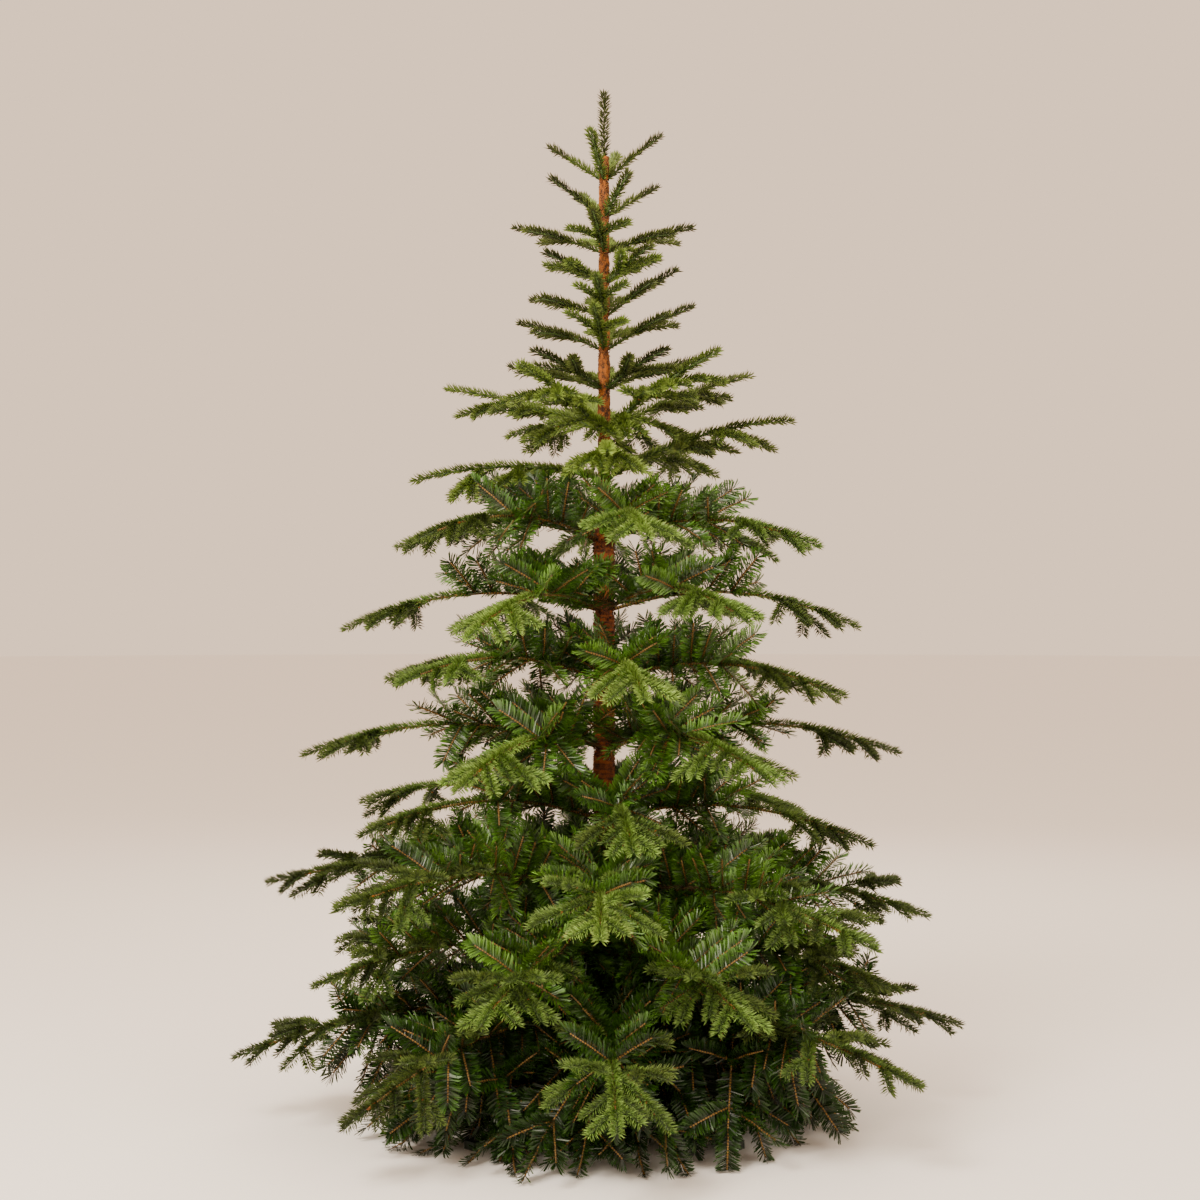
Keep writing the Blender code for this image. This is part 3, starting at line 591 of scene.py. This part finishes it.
def grow_tier(growth, tier_index):
    """One tier's boughs, each with its own source of chance, and its bare limbs."""
    for number in range(TIERS[tier_index].boughs):
        bough = Bough(tier_index, number)
        chance = random.Random(5000 + 100 * tier_index + number)
        if tier_index >= SHOULDER:
            grow_full_bough(growth, bough, chance)
        else:
            grow_crown_bough(growth, bough, chance)
        if tier_index in LIMB_TIERS:
            limb = stretch(bough.course, 0, LIMB_SHARE)
            growth.limbs.append((limb, LIMB_ROOT_RADIUS, LIMB_TIP_RADIUS))


def grow_leader(growth):
    """The upright shoot on top of the pole."""
    foot = POLE_TOP_Z - ROOT_DEPTH
    course = upright(foot, TREE_HEIGHT - LEADER_BRUSH - foot)
    # the leader takes the darkest green, as painted shade
    add_finger(growth, course, 0, DARKEST, size=0.95)


def blades(roots, ways, faces, lengths, width, shoulder, fold, cut=False):
    """Corners of many slim blades, four to a blade.

    A blade is a kite: its root, a shoulder at that share of its length and half a width to each
    side, and its tip. The shoulders lie fold of the width under the line from root to tip. A cut
    blade is a strip with two corners at its root, ROOT_WIDTH of half a width to each side, and a
    slanting cut: its right side ends at the shoulder, and its left side at the full length.
    """
    right = np.cross(ways, faces) * (width / 2)
    under = faces * (width * fold)
    reach = ways * lengths[:, None]
    shoulders = roots + reach * shoulder - under
    if cut:
        corners = [roots - right * ROOT_WIDTH, roots + right * ROOT_WIDTH]
        corners += [shoulders + right, roots + reach - right]
    else:
        corners = [roots, shoulders + right, roots + reach, shoulders - right]
    return np.stack(corners, axis=1)


def blade_triangles(corners):
    """Corner numbers of each blade's two triangles."""
    return (4 * np.arange(len(corners))[:, None, None] + [[0, 1, 2], [0, 2, 3]]).reshape(-1, 3)


def needle_blades(shoots, habit, chance):
    """The needles of many shoots, as blades, and the number of each needle's shoot.

    A needle roots on its shoot's course c(share). It leans away from the heading t towards the
    radial direction r = over * cos(round) + side * sin(round), so that it points along
    t * cos(lean) + r * sin(lean). Leans close up over the last stretch, brush, of a shoot, where
    lengths fall to 0.86. At a shoot's root they start at 0.7.
    """
    courses, over, _, fullness, size = map(np.array, zip(*shoots))
    length = np.array([reach_of(s.course) for s in shoots])
    counts = np.rint(length * habit.per_metre * fullness).astype(int)
    owner = np.repeat(np.arange(len(shoots)), counts)
    count, length, over, size = len(owner), length[owner], over[owner], size[owner]
    course = gathered(courses, owner)
    place = np.arange(count) - np.repeat(np.cumsum(counts) - counts, counts)
    share = (place + chance.random(count)) / counts[owner]
    t = heading(course, share[:, None])
    side = unit(np.cross(t, over))
    above = np.cross(side, t)
    if habit.round == 0:
        turn = ((place * GOLDEN_TURN) % 1 * 2 - 1) * habit.spread
        turn += chance.normal(0, ROUND_SCATTER, count)
    else:
        turn = habit.round + chance.normal(0, habit.spread, count)
        turn *= np.where(place % 2, 1, -1)
    roll = np.sign(turn) * habit.facing + chance.uniform(-habit.roll, habit.roll, count)
    turn, roll = np.radians([turn, roll])[..., None]
    radial = above * np.cos(turn) + side * np.sin(turn)
    brush = np.clip((1 - share) * length / habit.brush, 0, 1)
    lean = habit.end_lean + (habit.lean - habit.end_lean) * brush
    lean = np.radians(lean + chance.normal(0, LEAN_SCATTER, count))[:, None]
    ways = t * np.cos(lean) + radial * np.sin(lean)
    faces = radial * np.cos(lean) - t * np.sin(lean)
    faces = faces * np.cos(roll) + np.cross(faces, ways) * np.sin(roll)
    lengths = habit.length * size * (0.86 + 0.14 * brush)
    lengths *= 0.7 + 0.3 * np.clip(share * length / ROOT_STRETCH, 0, 1)
    lengths *= chance.uniform(1 - LENGTH_SPREAD, 1 + LENGTH_SPREAD, count)
    roots = at(course, share[:, None]) + radial * habit.stem * 0.5
    corners = blades(roots, ways, faces, lengths, habit.width, habit.shoulder, habit.fold,
                     cut=habit is FLAT)
    corners[..., 2] = np.maximum(corners[..., 2], LEAST_HEIGHT)
    return corners, owner


def tubes(courses, radii):
    """Round tubes along many courses, closed at both ends by a pole vertex.

    Ring k stands square to the heading at share k / rings. Its radius at each of its corners is in
    radii, by tube, ring and corner. Returns the vertices, and the faces as quads and triangles.
    """
    count, rings, sides = radii.shape[0], radii.shape[1] - 1, radii.shape[2]
    course = gathered(courses, np.s_[:, None])
    share = np.linspace(0, 1, rings + 1)[None, :, None]
    centre = at(course, share)
    side, over = sides_of(heading(course, share))
    turn = (math.tau * np.arange(sides) / sides)[None, None, :, None]
    ring = side[:, :, None] * np.cos(turn) + over[:, :, None] * np.sin(turn)
    body = (centre[:, :, None] + ring * radii[..., None]).reshape(count, -1, 3)
    poles = np.stack([centre[:, 0], centre[:, -1]], axis=1)
    vertices = np.concatenate([body, poles], axis=1)
    per_tube = vertices.shape[1]
    k = np.arange(sides)
    after = (k + 1) % sides
    low = np.arange(rings)[:, None] * sides
    quads = np.stack([low + after, low + k, low + sides + k, low + sides + after], axis=-1)
    foot = np.stack([k, after, np.full(sides, per_tube - 2)], axis=-1)
    top = rings * sides
    head = np.stack([top + after, top + k, np.full(sides, per_tube - 1)], axis=-1)
    shift = (np.arange(count) * per_tube)[:, None, None]
    quads = (quads.reshape(-1, 4)[None] + shift).reshape(-1, 4)
    triangles = (np.concatenate([foot, head])[None] + shift).reshape(-1, 3)
    return vertices.reshape(-1, 3), [quads, triangles]


def tube_lengths(courses, sides, rings):
    """How far each vertex of such tubes is along its course, in metres, its pole vertices last."""
    total = np.array([reach_of(c) for c in courses])[:, None]
    rows = np.repeat(np.linspace(0, 1, rings + 1), sides)
    return (total * np.concatenate([rows, [0, 1]])).ravel()


def bark_knobs(courses, sides, rings, banding, chance):
    """The height of a wrap's relief, from 0 to 1: a ridge wound round it and soft random knobs.

    The ridge is |cos(pi * (along / BARK_PITCH - round))|, and banding is its share. The knobs are
    random numbers that are averaged with their neighbours and then stretched again.
    """
    total = np.array([reach_of(c) for c in courses])[:, None, None]
    along = total * np.linspace(0, 1, rings + 1)[None, :, None]
    ridge = np.abs(np.cos(math.pi * (along / BARK_PITCH - np.arange(sides) / sides)))
    knobs = chance.random((len(courses), rings + 1, sides))
    for axis in (1, 2, 2):
        knobs = (2 * knobs + np.roll(knobs, 1, axis) + np.roll(knobs, -1, axis)) / 4
    knobs = np.clip(0.5 + KNOB_CONTRAST * (knobs - 0.5), 0, 1)
    return banding * ridge + (1 - banding) * knobs


def bristle(rows, per_metre, longest, chance):
    """Short blades that stand off a wrap, each rooted in its surface and lying round it.

    A blade's root is c(share) + 0.95 * r * radius, with r square to the heading t. It points along
    s + t * rise + r * out, where s is square to both and runs either way round.
    """
    courses, low, crown_shade_step = zip(*rows)
    counts = [int(reach_of(c) * per_metre) for c in courses]
    owner = np.repeat(np.arange(len(rows)), counts)
    count = len(owner)
    course = gathered(courses, owner)
    low, crown_shade_step = np.array(low)[owner], np.array(crown_shade_step)[owner]
    share = chance.random(count)[:, None]
    t = heading(course, share)
    side, over = sides_of(t)
    turn = chance.uniform(0, math.tau, count)[:, None]
    r = side * np.cos(turn) + over * np.sin(turn)
    s = np.cross(t, r) * chance.choice([-1, 1], count)[:, None]
    rise = chance.normal(0, 0.35, count)[:, None]
    out = chance.uniform(0.05, 0.6, count)[:, None]
    ways = unit(s + t * rise + r * out)
    faces = unit(r - ways * (r * ways).sum(-1, keepdims=True))
    radius = (low + (crown_shade_step - low) * share[:, 0])[:, None]
    roots = at(course, share) + r * radius * 0.95
    lengths = chance.uniform(0.5, 1.0, count) * longest
    corners = blades(roots, ways, faces, lengths, BRISTLE_WIDTH, BRISTLE_SHOULDER, BRISTLE_FOLD)
    return corners, owner


def linear(hex_colour):
    """An sRGB hex colour as linear red, green, blue and alpha."""
    parts = [int(hex_colour[k:k + 2], 16) / 255 for k in (1, 3, 5)]
    return [p / 12.92 if p <= 0.04045 else ((p + 0.055) / 1.055) ** 2.4 for p in parts] + [1.0]


def set_inputs(tree, node, inputs):
    """Sets or links each of a node's inputs."""
    for key, value in dict(inputs).items():
        if isinstance(value, bpy.types.NodeSocket):
            tree.links.new(value, node.inputs[key])
        else:
            node.inputs[key].default_value = value


def add_node(tree, kind, inputs=(), **settings):
    """Adds a shader node with these inputs and settings."""
    node = tree.nodes.new("ShaderNode" + kind)
    for name, value in settings.items():
        setattr(node, name, value)
    set_inputs(tree, node, inputs)
    return node


def new_material(name):
    """An empty material, its node tree and its shader."""
    made = bpy.data.materials.new(name)
    made.use_nodes = True
    return made, made.node_tree, made.node_tree.nodes["Principled BSDF"]


def carried(tree, name):
    """The value that each vertex carries under a name."""
    return add_node(tree, "Attribute", attribute_name=name).outputs["Fac"]


def grains(tree, size_mm, detail=2.0):
    """A soft pattern of grains of about this size, fixed to the piece, from 0 to 1."""
    place = add_node(tree, "TexCoord").outputs["Object"]
    inputs = {"Vector": place, "Scale": 1000 / size_mm, "Detail": detail}
    return add_node(tree, "TexNoise", inputs).outputs["Fac"]


def calculated(tree, operation, *inputs):
    """The result of one operation on these inputs."""
    return add_node(tree, "Math", enumerate(inputs), operation=operation).outputs["Value"]


def mapped(tree, value, **limits):
    """A value mapped to other limits."""
    limits = {name.replace("_", " ").title(): limit for name, limit in limits.items()}
    return add_node(tree, "MapRange", {"Value": value, **limits}).outputs["Result"]


def blended(tree, level, *stops):
    """Colours blended by a level. Each stop is a level and its sRGB hex colour, the ends first."""
    ramp = add_node(tree, "ValToRGB", {"Fac": level})
    elements = ramp.color_ramp.elements
    for k, (place, colour) in enumerate(stops):
        stop = elements[k] if k < 2 else elements.new(place)
        stop.position, stop.color = place, linear(colour)
    return ramp.outputs["Color"]


def needle_plastic(name, root, body, end, roughness, specular):
    """Needle plastic: painted shade at each needle's root, a painted highlight at its end, each
    needle its own tone, in soft patches.
    """
    made, tree, shader = new_material(name)
    colour = blended(tree, carried(tree, "needle_share"), (0, root), (1, end), (0.5, body))
    own = mapped(tree, carried(tree, "needle_tone"), to_min=0.62, to_max=1.3)
    patches = grains(tree, PATCH_MM, 1.0)
    patch = mapped(tree, patches, from_min=0.3, from_max=0.7, to_min=0.8, to_max=1.2)
    value = calculated(tree, "MULTIPLY", own, patch)
    green = add_node(tree, "HueSaturation", {"Color": colour, "Value": value}).outputs["Color"]
    inputs = {"Base Color": green, "Roughness": roughness, "Specular IOR Level": specular}
    set_inputs(tree, shader, inputs)
    return made


def two_tone(name, light, dark, grain_mm, edge, roughness, pitch_mm=None, relief=0.0):
    """Two colours in grains a few millimetres wide, which blend over edge to each side.

    With a pitch there are bands round a wire too. relief is the share by which the height of a
    wrap's relief takes the place of the grains, with the dark colour in its hollows as painted
    shade.
    """
    made, tree, shader = new_material(name)
    level = grains(tree, grain_mm)
    if pitch_mm:
        turns = calculated(tree, "MULTIPLY", carried(tree, "wire_along"), math.tau * 1000 / pitch_mm)
        wave = calculated(tree, "SINE", turns)
        level = calculated(tree, "MULTIPLY_ADD", wave, WIRE_BANDS, level)
    # painted shade: with relief, the wrap's hollows take the dark colour
    if relief:
        inputs = {0: relief, "A": level, "B": carried(tree, "bark_height")}
        level = add_node(tree, "Mix", inputs, data_type="FLOAT").outputs["Result"]
    colour = blended(tree, level, (0.5 - edge, dark), (0.5 + edge, light))
    set_inputs(tree, shader, {"Base Color": colour, "Roughness": roughness})
    return made


def make_materials():
    """All the finishes of the new pieces, in lists by piece."""
    # Each row: a needle's root, body and end; the darker rows are dealt out as painted shade
    plastics = (
        # Moulded polyethylene: soft and slightly waxy, so a broad, dull shine
        ("finger", "moulded_polyethylene", 0.55, (0.35, 0.35), (
            ("#2b4413", "#70913c", "#8fa857"),
            ("#243a10", "#608033", "#7c984a"),
            ("#1e300d", "#506b29", "#69823b"),
            ("#1a270b", "#43561f", "#5a6c2d"),
            ("#131907", "#303d12", "#42521d"),
        )),
        # The same plastic in the crown: browner, as painted warm light on the top section's tips
        ("crown_finger", "crown_warm_lit_polyethylene", 0.55, (0.35, 0.35), (
            ("#2f430f", "#6c8830", "#8ba24a"),
            ("#28390e", "#5e7629", "#7a9040"),
            ("#22300e", "#516524", "#697a35"),
            ("#1d260b", "#434f1a", "#586529"),
            ("#171a07", "#313911", "#434c1c"),
        )),
        # Cut vinyl film: thin, smooth and darker, so each needle glints along its length
        ("feather", "cut_vinyl_film", 0.38, (0.6, 0.35), (
            ("#162a0a", "#3a5f16", "#4b7722"),
            ("#112007", "#2b4c11", "#3a6019"),
            ("#1b330c", "#4a701e", "#5f8b2e"),
            ("#0b1703", "#1c3907", "#28490b"),
            ("#071102", "#132a04", "#1b3607"),
        )),
    )
    made = {
        kind: [
            needle_plastic(f"{name}_{k + 1}", *greens, roughness, specular[k >= SHADED])
            for k, greens in enumerate(rows)
        ]
        for kind, name, roughness, specular, rows in plastics
    }
    # Two wires twisted together with brown film: pale and dark bands along them
    made["wire"] = [
        two_tone("twisted_wire", "#7d5d1d", "#35260b", 2.5, 0.14, 0.7, pitch_mm=6.5),
        two_tone("green_moulded_core", "#44601f", "#22350d", 4.0, 0.12, 0.6),
    ]
    # Moulded buds: small, smooth and orange-brown
    made["bud"] = [two_tone("moulded_bud", "#b8702a", "#7e4518", 3.0, 0.15, 0.5)]
    # Bark-brown vinyl cord and bristle: matt, in several browns, with painted shade in the wrap's
    # hollows
    made["bark"] = [
        two_tone(f"vinyl_bark_{name}", light, dark, 3.0, 0.15, roughness)
        for name, light, dark, roughness in (
            ("dark", "#3f1d0a", "#180a03", 0.8),
            ("red", "#663006", "#2e1302", 0.8),
            ("orange", "#80450a", "#4a2304", 0.75),
            ("tan", "#966420", "#5c350c", 0.75),
            ("limb", "#54431f", "#2c210d", 0.8),
        )
    ] + [
        two_tone("bark_wrap_lower", "#934b12", "#210e05", 2.2, 0.18, 0.8, relief=0.5),
        two_tone("bark_wrap_upper", "#90500a", "#1c0d02", 1.7, 0.10, 0.85, relief=0.3),
        two_tone("bark_wrap_limb", "#5f4a24", "#1d150a", 2.2, 0.18, 0.8, relief=0.5),
    ]
    return made


def coated_metal(name, colour, metallic, roughness, grain_mm, depth_mm):
    """Powder coat or plated metal: an even colour over a fine pebbled surface."""
    made, tree, shader = new_material(name)
    noise = grains(tree, grain_mm)
    worn = mapped(tree, noise, to_min=roughness - 0.1, to_max=roughness + 0.1)
    bump = add_node(tree, "Bump", {"Height": noise, "Distance": depth_mm / 1000, "Strength": 0.6})
    set_inputs(tree, shader, {
        "Base Color": linear(colour), "Metallic": metallic, "Roughness": worn,
        "Normal": bump.outputs["Normal"],
    })
    return made


def put_object(name, data):
    """A new object in the scene."""
    made = bpy.data.objects.new(name, data)
    bpy.context.scene.collection.objects.link(made)
    return made


def put_piece(name, vertices, faces, materials, slot, replaced, finishes=None, smooth=False,
              **values):
    """A mesh piece from whole arrays, with a value for each vertex under each name in values."""
    mesh = bpy.data.meshes.new(name)
    mesh.vertices.add(len(vertices))
    mesh.vertices.foreach_set("co", np.asarray(vertices, np.float32).ravel())
    corners = np.concatenate([f.ravel() for f in faces]).astype(np.int32)
    sizes = np.concatenate([np.full(len(f), f.shape[1]) for f in faces])
    mesh.loops.add(len(corners))
    mesh.loops.foreach_set("vertex_index", corners)
    mesh.polygons.add(len(sizes))
    mesh.polygons.foreach_set("loop_start", (np.cumsum(sizes) - sizes).astype(np.int32))
    for material in materials:
        mesh.materials.append(material)
    if finishes is not None:
        mesh.polygons.foreach_set("material_index", np.asarray(finishes, np.int32))
    mesh.polygons.foreach_set("use_smooth", np.full(len(sizes), smooth))
    mesh.update(calc_edges=True)
    for label, numbers in values.items():
        made = mesh.attributes.new(label, "FLOAT", "POINT")
        made.data.foreach_set("value", np.asarray(numbers, np.float32))
    piece = put_object(name, mesh)
    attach(piece, "root")
    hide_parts(*replaced)
    print(f"{name}: {int((sizes - 2).sum())} triangles")


def put_needles(name, shoots, habit, materials, replaced, seed):
    """One kind of needles of a group of tiers, each needle with its own tone."""
    chance = np.random.default_rng(seed)
    corners, owner = needle_blades(shoots, habit, chance)
    finish = np.array([s.shade for s in shoots])[owner]
    along = [0, 0, habit.shoulder, 1] if habit is FLAT else [0, habit.shoulder, 1, habit.shoulder]
    put_piece(
        name, corners.reshape(-1, 3), [blade_triangles(corners)], materials, "needles", replaced,
        finishes=np.repeat(finish, 2), needle_share=np.tile(along, len(corners)),
        needle_tone=np.repeat(chance.random(len(corners)), 4),
    )


def put_stems(name, rows, materials, replaced):
    """Wires and cores: slim tubes that narrow evenly."""
    courses, low, crown_shade_step, finish = zip(*rows)
    radii = np.linspace(low, crown_shade_step, STEM_RINGS + 1).T[..., None]
    vertices, faces = tubes(courses, np.repeat(radii, STEM_SIDES, axis=2))
    vertices[:, 2] = np.maximum(vertices[:, 2], LEAST_HEIGHT)
    finishes = np.concatenate([np.repeat(finish, STEM_SIDES * k) for k in (STEM_RINGS, 2)])
    put_piece(
        name, vertices, faces, materials, "needles", replaced, finishes=finishes, smooth=True,
        wire_along=tube_lengths(courses, STEM_SIDES, STEM_RINGS),
    )


def put_buds(name, rows, materials, replaced):
    """Buds: spindles whose radius swells as the sine of the way along them."""
    courses, thickest = zip(*rows)
    radii = np.sin(np.linspace(0.2, 0.85, STEM_RINGS + 1) * math.pi) * np.array(thickest)[:, None]
    vertices, faces = tubes(courses, np.repeat(radii[..., None], STEM_SIDES, axis=2))
    put_piece(name, vertices, faces, materials, "needles", replaced, smooth=True)


def put_bark(name, rows, wrap, sides, ring_step, materials, replaced, seed, necks=()):
    """A wrapped course: its surface and its bristle, drawn in at each height in necks.

    Its radius is 0.97 of the plain one plus the relief, from 0.4 of its height below. With necks,
    the plain one is taken NECK_FULL times, and NECK_DEPTH less at a neck.
    """
    chance = np.random.default_rng(seed)
    courses, low, crown_shade_step = zip(*rows)
    rings = int(max(map(reach_of, courses)) / ring_step)
    plain = np.linspace(low, crown_shade_step, rings + 1).T[..., None]
    knobs = bark_knobs(courses, sides, rings, wrap.banding, chance)
    rough = min(BARK_KNOB, KNOB_LIMIT * plain.max())
    if necks:
        heights = courses[0].start[2] + courses[0].slope[2] * np.linspace(0, 1, rings + 1)
        near = np.exp(-((heights[:, None] - np.array(necks)) / NECK_SPAN) ** 2).sum(axis=1)
        plain = plain * (NECK_FULL - NECK_DEPTH * np.clip(near, 0, 1))[None, :, None]
    radii = plain * 0.97 + rough * (knobs - 0.4)
    vertices, faces = tubes(courses, radii)
    heights = np.concatenate([knobs.reshape(len(rows), -1), np.full((len(rows), 2), 0.5)], axis=1)
    put_piece(
        f"{name}_wrap", vertices, faces, materials, "bark_wrap", replaced,
        finishes=np.full(sum(map(len, faces)), wrap.finish), smooth=True,
        bark_height=heights.ravel(),
    )
    corners, owner = bristle(rows, wrap.per_metre, wrap.longest, chance)
    browns = np.array(wrap.bristle_finishes)
    finishes = np.repeat(browns[chance.integers(0, len(browns), len(owner))], 2)
    put_piece(
        f"{name}_bristle", corners.reshape(-1, 3), [blade_triangles(corners)], materials,
        "bark_wrap", replaced, finishes=finishes,
    )


def put_pole(materials):
    """The pole's wrap: dark and shaggy on the lower sections, orange and knobbly above."""
    low, crown_shade_step, top = SHOULDER_LOW_Z, SHOULDER_HIGH_Z, POLE_TOP_Z
    lower = upright(WRAP_FOOT_Z, low - WRAP_FOOT_Z)
    shoulder = upright(low - SHOULDER_OVERLAP, crown_shade_step - low + SHOULDER_OVERLAP)
    upper = upright(crown_shade_step - UPPER_OVERLAP, top - crown_shade_step + UPPER_OVERLAP)
    wide, narrow = UPPER_WRAP_RADIUS + UPPER_FULLNESS, POLE_TOP_RADIUS + UPPER_FULLNESS
    for name, row, wrap in (
        ("lower_pole", (lower, LOWER_WRAP_RADIUS, LOWER_WRAP_RADIUS), LOWER_WRAP),
        ("pole_shoulder", (shoulder, LOWER_WRAP_RADIUS, wide), SHOULDER_WRAP),
        ("upper_pole", (upper, wide, narrow), UPPER_WRAP),
    ):
        put_bark(name, [row], wrap, POLE_SIDES, POLE_RING_STEP, materials, ["trunk"],
                 11 + wrap.per_metre, [tier.height for tier in TIERS])


def put_bare_pole(material):
    """The bare steel foot of the pole, from the stand's socket to just inside the wrap."""
    rings, sides, in_wrap = 4, 48, 0.01
    foot = upright(BARE_POLE_FOOT_Z, WRAP_FOOT_Z + in_wrap - BARE_POLE_FOOT_Z)
    vertices, faces = tubes([foot], np.full((1, rings + 1, sides), BARE_POLE_RADIUS))
    put_piece("pole_foot", vertices, faces, [material], "stand_steel", ["trunk"])


def put_foliage(frame, materials):
    """Every tier's needles, wires, buds and limbs, in pieces by group."""
    for k, (name, tier_indices) in enumerate(GROUPS):
        growth = Growth()
        replaced, limbs = [], []
        for tier_index in tier_indices:
            grow_tier(growth, tier_index)
            for node in sorted(frame["nodes"]):
                if node.startswith(f"tier{tier_index + 1:02d}_"):
                    (limbs if "_bough_" in node else replaced).append(node)
        if name == "crown":
            grow_leader(growth)
            replaced.append("leader")
        habit, finish = (SPIKY, "crown_finger") if name == "crown" else (MOULDED, "finger")
        put_needles(f"{name}_fingers", growth.fingers, habit, materials[finish], replaced, 100 + k)
        for kind in ("feathers", "low_feathers"):
            shoots = getattr(growth, kind)
            if shoots:
                put_needles(f"{name}_{kind}", shoots, FLAT, materials["feather"], replaced, 200 + k)
        put_stems(f"{name}_wires", growth.stems, materials["wire"], replaced)
        put_buds(f"{name}_buds", growth.buds, materials["bud"], replaced)
        if growth.limbs:
            put_bark(f"{name}_limb", growth.limbs, LIMB_WRAP, LIMB_SIDES, LIMB_RING_STEP,
                     materials["bark"], limbs, 300 + k)


def dress_stand(frame):
    """Better finishes for the stand's own solids."""
    # Powder-coated steel tube: dark green, with the fine orange-peel skin of baked powder
    powder = coated_metal("powder_coated_steel", "#1c2a20", 0.0, 0.45, 1.2, 0.05)
    # Zinc-plated screws: a cool dull silver
    zinc = coated_metal("zinc_plated_steel", "#b9bcc0", 1.0, 0.38, 0.8, 0.02)
    for name, node in frame["nodes"].items():
        if name.startswith("stand_screw"):
            node.material_slots[0].material = zinc
        elif name.startswith("stand_"):
            node.material_slots[0].material = powder
    return powder


def put_stage():
    """A pale floor, soft light and the camera."""
    mesh = bpy.data.meshes.new("floor")
    turns = np.linspace(0, math.tau, FLOOR_SIDES, endpoint=False)
    rim = FLOOR_RADIUS * np.stack([np.cos(turns), np.sin(turns), 0 * turns], -1)
    mesh.from_pydata(rim.tolist(), [], [list(range(FLOOR_SIDES))])
    # Matt painted floor: nothing but a soft shadow shows on it
    pale, tree, shader = new_material("matt_pale_floor")
    set_inputs(tree, shader, {"Base Color": linear("#f8f5f1"), "Roughness": 0.9})
    mesh.materials.append(pale)
    put_object("floor", mesh)

    world = bpy.data.worlds.new("studio")
    bpy.context.scene.world = world
    world.use_nodes = True
    tree = world.node_tree
    set_inputs(tree, tree.nodes["Background"], {"Color": linear("#f5d5b8"), "Strength": 1.55})

    for name, place, size, power, colour in (
        ("key", (-2.2, -3.6, 4.4), 2.2, 520, "#fff3e2"),
        ("fill", (3.2, -3.8, 3.0), 3.0, 120, "#fff6ea"),
        ("back", (0.5, 4.0, 3.8), 3.0, 90, "#fff3e2"),
    ):
        light = bpy.data.lights.new(name, "AREA")
        light.shape, light.size, light.energy = "SQUARE", size, power
        light.color = linear(colour)[:3]
        lamp = put_object(name, light)
        lamp.location = place
        lamp.rotation_mode = "QUATERNION"
        lamp.rotation_quaternion = (Vector(LIT_POINT) - Vector(place)).to_track_quat("-Z", "Y")

    camera = bpy.data.cameras.new("camera")
    camera.lens, camera.sensor_width = 62.9, 36.0
    eye = bpy.context.scene.camera = put_object("camera", camera)
    eye.location = (-0.009, -4.67, 1.151)
    eye.rotation_euler = (math.radians(90), 0, 0)


def main():
    """Dresses the frame's solids and sets the stage."""
    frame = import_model()
    powder = dress_stand(frame)
    materials = make_materials()
    put_pole(materials["bark"])
    put_bare_pole(powder)
    put_foliage(frame, materials)
    put_stage()


main()
